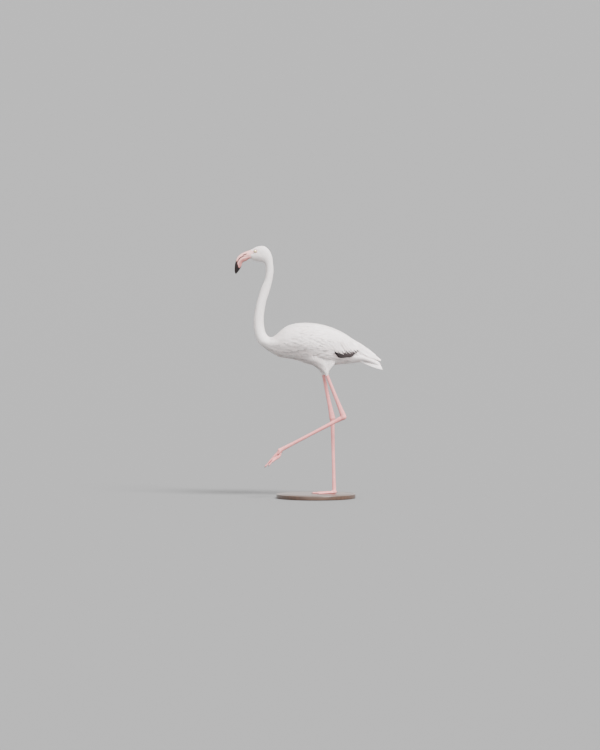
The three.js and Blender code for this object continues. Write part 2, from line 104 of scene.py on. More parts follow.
def ringSurface(rows, relief=None):
    # Egg-shaped rings carried along a body. A row holds the upper edge x, z, the lower edge x, z, the half
    # width, how much fuller the ring is near its upper edge, and its distance from the middle plane.
    # A point is middle + (half height + lift) * cos(turn) towards the upper edge, and sideways it is
    # (half width + lift) * sin(turn) * (1 + fuller * cos(turn)).
    rows = np.asarray([list(row) + [0] * (7 - len(row)) for row in rows], float)
    at = sectionCurve(rows, (rows[:, 0:2] + rows[:, 2:4]) / 2)

    def ring(u, v, lift):
        row = at(u)
        turn = 2 * np.pi * v
        middleX, middleZ = (row[..., 0] + row[..., 2]) / 2, (row[..., 1] + row[..., 3]) / 2
        upX, upZ = row[..., 0] - middleX, row[..., 1] - middleZ
        tall = np.maximum(np.hypot(upX, upZ), 1e-6)
        reach = np.maximum(tall + lift, 0.2) / tall * np.cos(turn)
        wide = np.maximum(row[..., 4] + lift, 0.2) * np.sin(turn) * (1 + row[..., 5] * np.cos(turn))
        return np.stack([middleX + upX * reach, row[..., 6] + wide, middleZ + upZ * reach], -1)

    def place(u, v, lift=0.0):
        u, v, lift = np.broadcast_arrays(np.asarray(u, float), np.asarray(v, float), np.asarray(lift, float))
        if relief is not None:
            lift = lift + relief(ring(u, v, lift * 0))
        return toMetres(ring(u, v, lift))

    place.last = len(rows) - 1
    return place


def tangents(place, u, v):
    # Central differences along both parameters, and the outward normal as their cross product.
    alongU = (place(u + 2e-3, v) - place(u - 2e-3, v)) / 4e-3
    alongV = (place(u, v + 5e-4) - place(u, v - 5e-4)) / 1e-3
    normal = np.cross(alongU, alongV)
    return alongU, alongV, normal / np.maximum(np.linalg.norm(normal, axis=-1, keepdims=True), 1e-12)


def unit(vectors):
    return vectors / np.maximum(np.linalg.norm(vectors, axis=-1, keepdims=True), 1e-12)


def dot(a, b):
    return (a * b).sum(-1)


# Meshes


def addMesh(name, points, quads=None, tris=None, layers=None, colours=None, material=None, sharp=None):
    # Whole arrays straight into a mesh: points (n, 3), quads (q, 4), tris (t, 3), layers {uv name: (n, 2)},
    # colours {attribute name: (n,)}, and sharp, which has each point's kind: 0 inside a surface, 1 or 2 on its
    # left or right border, 3 at a tip. Borders are kept sharp.
    quads = np.empty((0, 4), int) if quads is None else np.asarray(quads)
    tris = np.empty((0, 3), int) if tris is None else np.asarray(tris)
    corners = np.concatenate([quads.ravel(), tris.ravel()]).astype(np.int32)
    starts = np.concatenate([np.arange(len(quads)) * 4, len(quads) * 4 + np.arange(len(tris)) * 3])
    mesh = bpy.data.meshes.new(name)
    mesh.vertices.add(len(points))
    mesh.vertices.foreach_set("co", np.ascontiguousarray(points, np.float32).ravel())
    mesh.loops.add(len(corners))
    mesh.loops.foreach_set("vertex_index", corners)
    mesh.polygons.add(len(starts))
    mesh.polygons.foreach_set("loop_start", starts.astype(np.int32))
    mesh.polygons.foreach_set("use_smooth", np.ones(len(starts), bool))
    mesh.update(calc_edges=True)
    for label, flat in (layers or {}).items():
        layer = mesh.uv_layers.new(name=label)
        layer.data.foreach_set("uv", np.ascontiguousarray(flat[corners], np.float32).ravel())
    for label, values in (colours or {}).items():
        tone = mesh.attributes.new(label, "FLOAT", "POINT")
        tone.data.foreach_set("value", np.ascontiguousarray(values, np.float32))
    if sharp is not None:
        ends = np.empty(len(mesh.edges) * 2, np.int32)
        mesh.edges.foreach_get("vertices", ends)
        kinds = sharp[ends.reshape(-1, 2)]
        border = (kinds > 0).all(1) & ((kinds[:, 0] == kinds[:, 1]) | (kinds == 3).any(1))
        mesh.attributes.new("sharp_edge", "BOOLEAN", "EDGE").data.foreach_set("value", border)
    piece = bpy.data.objects.new(name, mesh)
    bpy.context.scene.collection.objects.link(piece)
    if material:
        mesh.materials.append(material)
    return piece


def gridFaces(rows, sides, start=0):
    # Quads of a closed tube of points laid out ring by ring.
    r, s = np.meshgrid(np.arange(rows - 1), np.arange(sides), indexing="ij")
    a, b = r * sides + s, r * sides + (s + 1) % sides
    return np.stack([a, a + sides, b + sides, b], -1).reshape(-1, 4) + start


def signedVolume(points, faces):
    # Six times the volume inside faces that point outwards, each cut into triangles from its first corner.
    p = points[faces]
    return sum(dot(p[:, 0], np.cross(p[:, i], p[:, i + 1])).sum() for i in range(1, faces.shape[1] - 1))


def tube(rings):
    # Closed solid through rings (r, s, 3): quads between them and a fan over each end.
    count, sides = rings.shape[:2]
    points = np.concatenate([rings.reshape(-1, 3), rings[:1].mean(1), rings[-1:].mean(1)])
    s = np.arange(sides)
    n = (s + 1) % sides
    top = (count - 1) * sides
    fans = np.concatenate([np.stack([s, n, s * 0 + count * sides], -1),
                           np.stack([n + top, s + top, s * 0 + count * sides + 1], -1)])
    quads = gridFaces(count, sides)
    if signedVolume(points, quads) + signedVolume(points, fans) < 0:
        quads, fans = quads[:, ::-1], fans[:, ::-1]
    return points, quads, fans


def packedSteps(low, high, count, places, width, strength):
    # Steps from low to high that crowd together round some places: equal shares of the area under
    # 1 + strength * bells.
    fine = np.linspace(low, high, 2000)
    crowd = 1 + strength * sum(bell(fine, place, width) for place in places)
    share = np.concatenate([[0], np.cumsum((crowd[1:] + crowd[:-1]) / 2)])
    return np.interp(np.linspace(0, share[-1], count), share, fine)


# Sizes of the bird

headSections = [
    [-290, 1046, -281, 1014, 12.5, 0],
    [-275, 1053, -270, 1006.5, 14.5, 0],
    [-259, 1061, -255, 1002, 17.5, 0],
    [-243, 1066, -242, 1000, 19.5, 0],
    [-224, 1066, -231, 998, 19.5, 0],
    [-204, 1052, -222, 993, 18, 0],
    [-191, 1028, -217, 983, 16, 0],
]
neckSections = [
    [-185, 991, -215, 969, 14.5, 0],
    [-183, 957, -215, 950, 14, 0],
    [-187, 925, -219, 927, 14, 0],
    [-199, 876, -236, 884, 15, 0],
    [-213, 832, -251, 836, 16.5, 0],
    [-222, 787, -262, 789, 18, 0],
    [-225, 748, -267, 748, 19.5, 0],
    [-222, 714, -267, 711, 22, 0],
]
trunkSections = [
    [-216, 692, -261, 681, 26, 0],
    [-205, 678, -248, 650, 32, 0.02],
    [-192, 674, -224, 630, 42, 0.05],
    [-175, 682, -194, 609, 54, 0.08],
    [-155, 700, -163, 593, 66, 0.1],
    [-129, 720, -129, 586, 76, 0.13],
    [-93, 732, -87, 578, 82, 0.15],
    [-50, 736, -44, 563, 84, 0.16],
    [0, 733, 0, 551, 81, 0.16],
    [43, 724, 40, 547, 75, 0.15],
    [85, 709, 79, 556, 66, 0.12],
]
foldedWingSections = [
    [125, 688.5, 120, 561, 54, 0.05],
    [160, 665.5, 157, 565, 43, -0.04],
    [192, 646.5, 188, 573, 32, -0.12],
    [238, 614, 234, 573, 18, -0.15],
    [281, 577.5, 277, 570, 5, -0.1],
]
tailSections = [
    [118, 640, 116, 561, 40, 0],
    [160, 629, 158, 562, 39, 0],
    [196, 612, 194, 568, 34, -0.1],
    [241, 588, 237, 560, 25, -0.1],
    [270, 568, 265, 546, 14, 0],
    [286, 541, 285, 534, 4, 0],
]
eye = {"x": -261, "z": 1044.5, "out": 11.9, "radius": 6.3, "opening": 5.3, "iris": 5.0, "pupil": 2.1}
soleDrop = 8.5  # from the planted toe joint down to the sole

legs = {
    "left": {
        "side": -1, "knee": (46, 515, 43), "ankle": (119, 333, 46), "toeJoint": (-156, 189, 42),
        "footPitch": 48, "footTurn": 0, "toeSpread": 11, "toeDroop": 5.5, "toeSag": 13, "hindDrop": 82,
        "planted": False,
        "thigh": [[100, 634, -76, 622, 34, -0.25, 37], [102, 606, -70, 598, 34, -0.3, 34],
                  [97, 584, -46, 578, 31, -0.35, 31.5], [86, 566, -14, 562, 25.5, -0.35, 31.5],
                  [71, 551, 6, 549, 19, -0.2, 35.5], [59, 536, 24, 535.5, 12, 0, 41],
                  [54, 524.5, 34.5, 524, 9.2, 0, 43], [53, 516, 39, 515, 7, 0, 43]],
    },
    "right": {
        "side": 1, "knee": (31.5, 513.5, 40), "ankle": (70.5, 324, 34), "toeJoint": (78.5, 8.5, 16),
        "footPitch": 0, "footTurn": 3, "toeSpread": 29, "toeDroop": 0, "toeSag": 0, "hindDrop": 30,
        "planted": True,
        "thigh": [[86, 634, -90, 622, 34, -0.25, 37], [88, 606, -84, 598, 34, -0.3, 34],
                  [83, 584, -60, 578, 31, -0.35, 31.5], [72, 566, -28, 562, 25.5, -0.35, 31.5],
                  [57, 551, -9, 549, 19, -0.2, 34], [45, 536, 9, 535.5, 12, 0, 39.5],
                  [41, 524, 20, 523, 9.2, 0, 40], [39, 514, 24, 513, 7, 0, 40]],
    },
}
for leg in legs.values():
    for row in leg["thigh"]:
        row[6] *= leg["side"]
shinRows = [[-0.15, 6.6, 6.4], [0, 7, 6.6], [0.26, 7.2, 6.2], [0.62, 8.2, 6.6], [0.82, 9.8, 7.6],
            [0.94, 11.8, 9.2], [1, 11.6, 9.4]]
tarsusRows = [[0, 11.2, 9.2], [0.05, 9.8, 8.2], [0.14, 8, 6.2], [0.5, 6.8, 5.2], [0.8, 7, 5.4],
              [0.95, 8.2, 7], [1, 8, 7.6]]
toes = {
    "outer": {"angle": -1, "length": 78, "root": 5.4, "tip": 2.8},
    "middle": {"angle": 0, "length": 91, "root": 5.8, "tip": 3},
    "inner": {"angle": 1, "length": 72, "root": 5.4, "tip": 2.8},
}
hindToe = {"length": 13, "rise": 4.5, "rows": [[0, 2.9, 2.9], [0.55, 2.5, 2.5], [1, 1.7, 1.7]]}
web = {"thick": 2.2, "reach": 0.86, "scoop": 0.34}


def legPoint(leg, joint):
    # A joint in millimetres. It is given as x, z and how far out it lies.
    x, z, out = leg[joint]
    return np.array([x, leg["side"] * out, z], float)


def bodyRelief(point):
    # Soft forms added to the rings. On the head: a brow over the eye, a hollow before and under it, a full
    # cheek, a slight groove down the lores, a crease back from the corner of the mouth, and sides that draw
    # in to meet the bill. On the flank: a swelling where each thigh comes out from under the belly.
    x, side, z = point[..., 0], np.abs(point[..., 1]), point[..., 2]
    sideways = smoothStep(3, 9, side)
    brow = 0.9 * bell(x, eye["x"], 10) * bell(z, eye["z"] + 8.5, 3.2)
    hollow = -1.3 * bell(x, eye["x"] - 9, 9) * bell(z, eye["z"] - 8, 6)
    cheek = 1.0 * bell(x, eye["x"] + 14, 16) * bell(z, eye["z"] - 24, 10)
    lores = -0.5 * bell(z - (1030 + 0.35 * (x + 284)), 0, 2.2) * smoothStep(-262, -276, x)
    crease = -0.7 * bell(z - (1023 - 0.28 * (x + 285.5)), 0, 0.8) * smoothStep(-270, -277, x)
    join = -0.85 * smoothStep(-276, -289, x) * smoothStep(2, 8, side)
    head = (brow + hollow + cheek + lores + crease) * sideways + join
    middle = np.where(point[..., 1] < 0, 36, 21)
    thigh = 3.5 * bell(x, middle, 50) * bell(z, 592, 20) * smoothStep(18, 42, side)
    return np.where(x < -205, head, thigh)


coat = ringSurface(headSections + neckSections + trunkSections + foldedWingSections, bodyRelief)
tailForm = ringSurface(tailSections)
thighForm = {label: ringSurface(leg["thigh"]) for label, leg in legs.items()}


def coatDepth(u):
    # Depth of the plumage over the skin.
    return np.interp(u, plumes["depthAt"], plumes["depth"])


def bareFace(x, z):
    # 1 on the bare skin of the lores and round the eye, 0 where feathers grow, in millimetres above the sole.
    edge = -287 + 20 * bell(z, 1040, 9) + 9 * bell(z, 1019, 9)
    lores = smoothStep(edge + 2.5, edge - 1.5, x)
    ring = smoothStep(9.2, 7.6, np.hypot((x - eye["x"]) / 1.12, z - eye["z"]))
    return np.maximum(lores, ring)


# Materials


class ShaderTree:
    # Short calls for the nodes used here. A value is a number, a colour or another node's output.

    def __init__(self, tree):
        self.nodes, self.links = tree.nodes, tree.links

    def put(self, socket, value):
        if isinstance(value, bpy.types.NodeSocket):
            self.links.new(value, socket)
        else:
            socket.default_value = value

    def add(self, kind, settings=None, inputs=None):
        node = self.nodes.new(kind)
        for key, value in (settings or {}).items():
            setattr(node, key, value)
        for key, value in (inputs or {}).items():
            self.put(node.inputs[key], value)
        return node

    def math(self, operation, *values):
        return self.add("ShaderNodeMath", {"operation": operation}, dict(enumerate(values))).outputs[0]

    def times(self, first, second):
        return self.math("MULTIPLY", first, second)

    def mix(self, factor, first, second, blend="MIX"):
        first, second = ((*value, 1) if isinstance(value, tuple) else value for value in (first, second))
        settings = {"data_type": "RGBA", "blend_type": blend}
        return self.add("ShaderNodeMix", settings, {0: factor, 6: first, 7: second}).outputs[2]

    def mixNumber(self, factor, first, second):
        return self.add("ShaderNodeMix", {"data_type": "FLOAT"}, {0: factor, 2: first, 3: second}).outputs[0]

    def step(self, value, low, high, toLow=0.0, toHigh=1.0, kind="SMOOTHSTEP"):
        inputs = {"Value": value, "From Min": low, "From Max": high, "To Min": toLow, "To Max": toHigh}
        return self.add("ShaderNodeMapRange", {"interpolation_type": kind}, inputs).outputs[0]

    def noise(self, vector, scale, detail, **more):
        inputs = {"Vector": vector, "Scale": scale, "Detail": detail, **more}
        return self.add("ShaderNodeTexNoise", None, inputs).outputs[0]

    def wave(self, vector, settings, **inputs):
        return self.add("ShaderNodeTexWave", settings, {"Vector": vector, **inputs}).outputs["Fac"]

    def position(self):
        return self.add("ShaderNodeTexCoord").outputs["Object"]

    def split(self, vector):
        return self.add("ShaderNodeSeparateXYZ", None, {0: vector}).outputs

    def join(self, *values):
        return self.add("ShaderNodeCombineXYZ", None, dict(enumerate(values))).outputs[0]

    def attribute(self, name):
        settings = {"attribute_name": name, "attribute_type": "GEOMETRY"}
        return self.add("ShaderNodeAttribute", settings).outputs["Fac"]

    def group(self, group, inputs):
        return self.add("ShaderNodeGroup", {"node_tree": group}, inputs).outputs

    def bump(self, height, strength, distance):
        inputs = {"Height": height, "Strength": strength, "Distance": distance}
        return self.add("ShaderNodeBump", None, inputs).outputs[0]


def makeMaterial(name, colour, **settings):
    # A material, its tree and its shader's inputs. An underscore in a setting's name stands for a space.
    material = bpy.data.materials.new(name)
    material.use_nodes = True
    inputs = material.node_tree.nodes["Principled BSDF"].inputs
    inputs["Base Color"].default_value = (*colour, 1)
    for socket, value in settings.items():
        inputs[socket.replace("_", " ")].default_value = value
    return material, ShaderTree(material.node_tree), inputs


def makeGroup(name, inputs, outputs):
    # A group, its tree, and the sockets that its values come from and go to.
    group = bpy.data.node_groups.new(name, "ShaderNodeTree")
    for label, kind, value in inputs:
        socket = group.interface.new_socket(label, in_out="INPUT", socket_type=kind)
        if value is not None:
            socket.default_value = value
    for label, kind in outputs:
        group.interface.new_socket(label, in_out="OUTPUT", socket_type=kind)
    tree = ShaderTree(group)
    return group, tree, tree.add("NodeGroupInput").outputs, tree.add("NodeGroupOutput").inputs


plumage = {"white": (0.9, 0.83, 0.81, 1), "rose": (0.88, 0.67, 0.64, 1),
           "dark": {"White": (0.022, 0.019, 0.02, 1), "Rose": (0.045, 0.028, 0.028, 1)}}


def plumageTone():
    # Almost white, rosier over the folded wings and in drifting patches. Skin and feathers share it.
    group, tree, given, made = makeGroup(
        "plumageTone",
        [("Position", "NodeSocketVector", None), ("White", "NodeSocketColor", plumage["white"]),
         ("Rose", "NodeSocketColor", plumage["rose"])],
        [("Color", "NodeSocketColor")])
    wings = tree.step(tree.split(given["Position"])[0], -0.16, 0.08)
    patches = tree.step(tree.noise(given["Position"], 9.0, 3.0), 0.42, 0.68, kind="LINEAR")
    amount = tree.math("MULTIPLY_ADD", patches, 0.22, tree.times(wings, 0.14))
    tree.put(made["Color"], tree.mix(amount, given["White"], given["Rose"]))
    return group


def featherBarbs():
    # From a feather's own map, across in x and along in y: slanted barbs either side of a pale shaft.
    group, tree, given, made = makeGroup(
        "featherBarbs", [("Vane", "NodeSocketVector", None), ("Barbs", "NodeSocketFloat", 26.0)],
        [("Barb", "NodeSocketFloat"), ("Shaft", "NodeSocketFloat"), ("Along", "NodeSocketFloat")])
    where = tree.split(given["Vane"])
    across = tree.math("ABSOLUTE", tree.math("SUBTRACT", where[0], 0.5))
    slant = tree.math("MULTIPLY_ADD", across, -0.55, where[1])
    wave = tree.math("SINE", tree.times(tree.times(slant, given["Barbs"]), 6.283))
    tree.put(made["Barb"], tree.math("MULTIPLY_ADD", wave, 0.5, 0.5))
    tree.put(made["Shaft"], tree.step(across, 0.09, 0.02))
    tree.put(made["Along"], where[1])
    return group


toneGroup = plumageTone()
barbGroup = featherBarbs()


def featherMaterial(name, barbs, shadow, dark=False):
    # Painted root shade to clean tip, barbs in colour and bump, a fine mottle, and painted shade between
    # locks.
    material, tree, shader = makeMaterial(
        name, (0.8, 0.7, 0.7), Roughness=0.5 if dark else 0.72, Specular_IOR_Level=0.25,
        Subsurface_Weight=0.0 if dark else 0.4, Subsurface_Radius=(1, 0.8, 0.75), Subsurface_Scale=0.003)
    position = tree.position()
    vane = tree.add("ShaderNodeUVMap", {"uv_map": "Vane"}).outputs[0]
    detail = tree.group(barbGroup, {"Vane": vane, "Barbs": barbs})
    tone = tree.group(toneGroup, {"Position": position, **(plumage["dark"] if dark else {})})
    light = tree.step(detail["Along"], 0.15, 0.75, shadow)
    # The last share is painted shade between locks.
    for share in (tree.step(tree.noise(position, 160.0, 2.0), 0.3, 0.7, 0.93, kind="LINEAR"),
                  tree.math("MULTIPLY_ADD", detail["Barb"], 0.07, 0.93),
                  tree.math("MULTIPLY_ADD", tree.attribute("between"), -0.4, 1.0)):
        light = tree.times(light, share)
    colour = tree.mix(1.0, tone["Color"], tree.join(light, light, light), "MULTIPLY")
    pale = (0.09, 0.075, 0.075) if dark else (0.9, 0.83, 0.8)
    tree.put(shader["Base Color"], tree.mix(tree.times(detail["Shaft"], 0.5), colour, pale))
    tree.put(shader["Normal"], tree.bump(detail["Barb"], 0.35, 0.0002))
    return material


plume = featherMaterial("plume", 22.0, 0.88)
longPlume = featherMaterial("longPlume", 60.0, 0.82)
darkVane = featherMaterial("darkVane", 70.0, 0.8, dark=True)
print("materials for feathers")


# Feathers


# Points along and round a form where its lengths are measured, and round one side where places are found.
fineNet = {"along": 500, "around": 121, "side": 160}


def halfTurn(side):
    # The span round a form of its left or right side: 0 and 1 lie along the back, 0.5 along the belly.
    return (0.5, 1.0) if side < 0 else (0.0, 0.5)


def scatter(place, uSpan, vSpan, rowStep, colStep, jitter=0.32):
    # Staggered rows of roots: rows lie a row step apart along the body and roots a column step apart
    # within each, both measured on the surface in millimetres.
    fineU, fineV = np.linspace(*uSpan, fineNet["along"]), np.linspace(*vSpan, fineNet["around"])
    net = place(fineU[:, None], fineV[None, :]) / mm
    lengths = np.linalg.norm(np.diff(net, axis=0), axis=-1).mean(1)
    share = np.concatenate([[0], np.cumsum(lengths / rowStep((fineU[1:] + fineU[:-1]) / 2))])
    rows = np.interp(np.arange(0.5, share[-1]), share, fineU)
    ring = place(rows[:, None], fineV[None, :]) / mm
    steps = np.cumsum(np.linalg.norm(np.diff(ring, axis=1), axis=-1), 1) / colStep(rows)[:, None]
    across = np.concatenate([np.zeros((len(rows), 1)), steps], 1)
    u, v = [], []
    for i, row in enumerate(rows):
        marks = np.arange(0.25 + 0.5 * (i % 2), across[i, -1])
        marks = marks + rng.uniform(-jitter, jitter, len(marks))
        v.append(np.interp(marks, across[i], fineV))
        u.append(np.full(len(marks), row))
    u, v = np.concatenate(u), np.concatenate(v)
    rowGap = (rows[-1] - rows[0]) / max(len(rows) - 1, 1)
    return u + rng.uniform(-jitter, jitter, len(u)) * rowGap, v


def findOn(place, x, z, side, uSpan):
    # Nearest parameters on one side of a form to points given by x and z in millimetres.
    turns = np.linspace(*halfTurn(side), fineNet["side"])
    u, v = np.meshgrid(np.linspace(*uSpan, fineNet["along"]), turns, indexing="ij")
    u, v = u.ravel(), v.ravel()
    net = place(u, v)
    target = np.stack([x * mm, z * mm + soleLevel], -1)
    near = [np.argmin((net[:, 0] - a) ** 2 + (net[:, 2] - b) ** 2) for a, b in target]
    return u[near], v[near]


vaneShapes = {
    # Places along the feather, and the half width there as a share of the widest.
    "down": ([0.0, 0.3, 0.72], [0.35, 1.0, 0.7]),
    "round": ([0.0, 0.18, 0.45, 0.75, 0.92], [0.3, 0.75, 1.0, 0.9, 0.52]),
    "lance": ([0.0, 0.15, 0.4, 0.65, 0.85, 0.95], [0.25, 0.75, 1.0, 0.86, 0.5, 0.2]),
    "quill": ([0.0, 0.1, 0.25, 0.45, 0.65, 0.82, 0.93, 0.98], [0.22, 0.6, 0.88, 1.0, 0.97, 0.8, 0.48, 0.22]),
}


def vaneOutline(shape, count, width, rag):
    # Left edge, ridge and right edge at each place along the feather, then its tip: how far along each point
    # is, how far across in millimetres with ragged edges, and how high the ridge stands.
    steps, half = (np.array(values) for values in vaneShapes[shape])
    along = np.append(np.repeat(steps, 3), 1.0)[None, :]
    lateral = np.append(np.tile([-1.0, 0.0, 1.0], len(steps)), 0.0)[None, :]
    wide = np.append(np.repeat(half, 3), 0.0)[None, :]
    ragged = 1 + rag * rng.normal(size=(count, along.shape[1]))
    across = lateral * wide * ragged * (width / 2)[:, None]
    vane = np.stack(np.broadcast_arrays(0.5 + 0.5 * lateral, along + 0 * across), -1)
    return along, across, (lateral == 0) * wide, vane


def toParameters(way, alongU, alongV):
    # A step on the tangent plane as steps of the two parameters, by the inverse of the form's metric.
    a, b, c = dot(alongU, alongU), dot(alongU, alongV), dot(alongV, alongV)
    p, q = dot(way, alongU), dot(way, alongV)
    scale = np.maximum(a * c - b * b, 1e-16)
    return (p * c - q * b) / scale, (q * a - p * b) / scale


def layFeathers(place, u, v, shape, length, width, rootLift, tipLift,
                heading=None, droop=None, jitter=5.0, camber=0.35, curl=0.8, rag=0.08):
    # Feathers laid on a form. Each runs straight over the form's two parameters, so it bends with the form:
    # a point `a` along and `b` across is mid + inverse metric * (a * heading + b * side), and its height
    # over the form goes from the root's to the tip's. droop is the heading's fall below the level in degrees,
    # seen from the side; without it a feather lies along the body.
    count = len(u)

    def spread(value):
        return np.broadcast_to(np.asarray(value, float), (count,))

    length, width, rootLift, tipLift, camber = map(spread, (length, width, rootLift, tipLift, camber))
    alongU, alongV, normal = tangents(place, u, v)
    ahead = unit(alongU) if heading is None else heading
    if droop is not None:
        fall = np.radians(spread(droop))
        ahead = np.stack([np.cos(fall), 0 * fall, -np.sin(fall)], -1)
    ahead = unit(ahead - normal * dot(ahead, normal)[:, None])
    turn = np.radians(rng.normal(0, jitter, count))[:, None]
    ahead = ahead * np.cos(turn) + np.cross(normal, ahead) * np.sin(turn)
    du, dv = toParameters(ahead * (length * mm / 2)[:, None], alongU, alongV)
    midU, midV = u + du, v + dv
    alongU, alongV, normal = tangents(place, midU, midV)
    ahead = unit(ahead - normal * dot(ahead, normal)[:, None])
    aside = np.cross(normal, ahead)

    along, across, ridge, vane = vaneOutline(shape, count, width, rag)
    reach = (along - 0.5) * length[:, None]
    way = (ahead[:, None] * reach[..., None] + aside[:, None] * across[..., None]) * mm
    du, dv = toParameters(way, alongU[:, None], alongV[:, None])
    lift = rootLift[:, None] + (tipLift - rootLift)[:, None] * along ** curl + ridge * camber[:, None]
    points = place(midU[:, None] + du, midV[:, None] + dv, lift)
    return {"points": points, "vane": vane, "root": np.stack([u, v], -1), "places": len(vaneShapes[shape][0])}


def freeFeathers(root, middle, tip, normal, shape, width, parameters, camber=0.7, rag=0.03):
    # Long feathers off the form, each on the parabola through its root, middle and tip:
    # root (1 - t)(1 - 2t) + middle 4t(1 - t) + tip t(2t - 1), its vane square to that path and to a normal.
    count = len(root)
    width = np.broadcast_to(np.asarray(width, float), (count,))
    t, across, ridge, vane = vaneOutline(shape, count, width, rag)
    a, b, c, n = (points[:, None] for points in (root, middle, tip, normal))
    t = t[..., None]
    path = a * (1 - t) * (1 - 2 * t) + b * 4 * t * (1 - t) + c * t * (2 * t - 1)
    ahead = a * (4 * t - 3) + b * (4 - 8 * t) + c * (4 * t - 1)
    aside = unit(np.cross(n, ahead))
    above = unit(np.cross(ahead, aside))
    points = path + (aside * across[..., None] + above * (ridge * camber)[..., None]) * mm
    return {"points": points, "vane": vane, "root": parameters, "places": len(vaneShapes[shape][0])}


def featherFaces(places):
    # Two quads on top and one below for each step, a cap at the root, and three triangles at the tip.
    i = np.arange(places - 1) * 3
    left = np.stack([i, i + 3, i + 4, i + 1], -1)
    right = np.stack([i + 1, i + 4, i + 5, i + 2], -1)
    under = np.stack([i, i + 2, i + 5, i + 3], -1)
    end, tip = (places - 1) * 3, places * 3
    tris = np.array([[0, 1, 2], [end, tip, end + 1], [end + 1, tip, end + 2], [end, end + 2, tip]])
    return np.concatenate([left, right, under]), tris


coatPieces = []


def featherPiece(name, sets, material, uSpan, vSpan=(0, 1)):
    # Joins sets of feathers into one mesh with two maps: Vane runs over each feather, and OFBake keeps each
    # one to a small patch at its root's place on the form. A point attribute carries the painted shade between
    # locks.
    points, vane, bake, quads, tris, kinds, between, start = [], [], [], [], [], [], [], 0
    low, high = np.array([uSpan[0], vSpan[0]]), np.array([uSpan[1], vSpan[1]])
    for group in sets:
        count, size = group["points"].shape[:2]
        q, t = featherFaces(group["places"])
        first = start + np.arange(count)[:, None, None] * size
        quads.append((q[None] + first).reshape(-1, 4))
        tris.append((t[None] + first).reshape(-1, 3))
        points.append(group["points"].reshape(-1, 3))
        vane.append(group["vane"].reshape(-1, 2))
        patch = 0.01 + 0.98 * np.clip((group["root"] - low) / (high - low), 0, 1)
        bake.append((patch[:, None] + (group["vane"] - 0.5) * 0.003).reshape(-1, 2))
        kinds.append(np.tile(np.append(np.tile([1, 0, 2], group["places"]), 3), count))
        between.append(np.repeat(group.get("between", np.zeros(count)), size))
        start += count * size
    maps = {"Vane": np.concatenate(vane), "OFBake": np.concatenate(bake)}
    piece = addMesh(name, np.concatenate(points), np.concatenate(quads), np.concatenate(tris), maps,
                    {"between": np.concatenate(between)}, material, np.concatenate(kinds))
    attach(piece, "root")
    triangles = sum(len(q) * 2 for q in quads) + sum(len(t) for t in tris)
    coatPieces.append((name, triangles))
    print(f"{name}: {triangles} triangles")
    return piece


plumes = {
    # By section of the body: feather length and width in millimetres, the gaps between rows and within a row
    # as shares of them, and the depth of the plumage over the skin.
    "sections": [0, 3, 6.5, 10, 14, 15.5, 17, 19, 21, 23, 25, 27, 30],
    "length": [3.6, 4.6, 7, 10, 14, 18, 24, 30, 34, 36, 38, 38, 12],
    "width": [0.95, 1.2, 1.7, 2.4, 3.4, 4.5, 5.6, 6.6, 7, 7.2, 7.2, 7.2, 6],
    "rowShare": 0.26,
    "columnShare": 0.5,
    "depthAt": [0, 3, 6.5, 10, 14, 17, 21, 25, 28, 30],
    "depth": [0.8, 1.0, 1.7, 2.2, 3.4, 5.5, 7.5, 6.5, 3.5, 1.2],
}


def plumeLength(u):
    return np.interp(u, plumes["sections"], plumes["length"])


def plumeWidth(u):
    return np.interp(u, plumes["sections"], plumes["width"])


def fallShare(v):
    # 0 along the back and 1 along the belly.
    return (1 - np.cos(2 * np.pi * v)) / 2


def even(gap):
    # The same gap at every section.
    return lambda u: gap + 0 * u


def bySection(sections, values):
    return lambda u: np.interp(u, sections, values)


def bodyDroop(u, v):
    # How far feathers fall below the level, in degrees: some 18 over the wing's front, over 45 where the
    # scapulars hang behind its middle, rising to the rear low on the flank, and level behind the thighs.
    # Round the top of a thigh they turn down towards its shin.
    point = coat(u, v)
    x, _, z = toMillimetres(point)
    f = fallShare(v)
    rear = smoothStep(-10, 70, x)
    upper = 10 + 12 * bell(f, 0.35, 0.2) + rear * (16 + 20 * bell(f, 0.4, 0.2))
    lower = -13 * (1 - smoothStep(40, 120, x))
    fall = upper + (lower - upper) * smoothStep(0.5, 0.66, f + 0.05 * np.sin(x / 23))
    knee = np.where(point[..., 1] < 0, 46, 31)
    down = np.clip(np.degrees(np.arctan2(z - 500, knee - x)), 0, 95)
    return fall + (down - fall) * bell(x, knee - 14, 54) * smoothStep(606, 568, z)


def bodyHeading(u, v):
    # Along the body at the neck, breast, back line, belly line and tail end, and by the droop in between.
    alongU, _, normal = tangents(coat, u, v)
    fall = np.radians(bodyDroop(u, v))
    droop = np.stack([np.cos(fall), 0 * fall, -np.sin(fall)], -1)
    f = fallShare(v)
    level = smoothStep(17.5, 20, u) * smoothStep(29.5, 27.5, u)
    level = (level * smoothStep(0.02, 0.12, f) * smoothStep(0.99, 0.93, f))[:, None]
    return unit(unit(alongU) * (1 - level) + droop * level)


locks = {
    # Plumes gather in locks: the gaps between locks along, across and off the lie, how fully their tips meet
    # on the lock's line and how soon, and how high its ridge stands. In millimetres but for the share.
    "along": 50,
    "across": 15,
    "off": 14,
    "meet": 0.7,
    "meetAfter": 38,
    "ridge": 3.2,
}


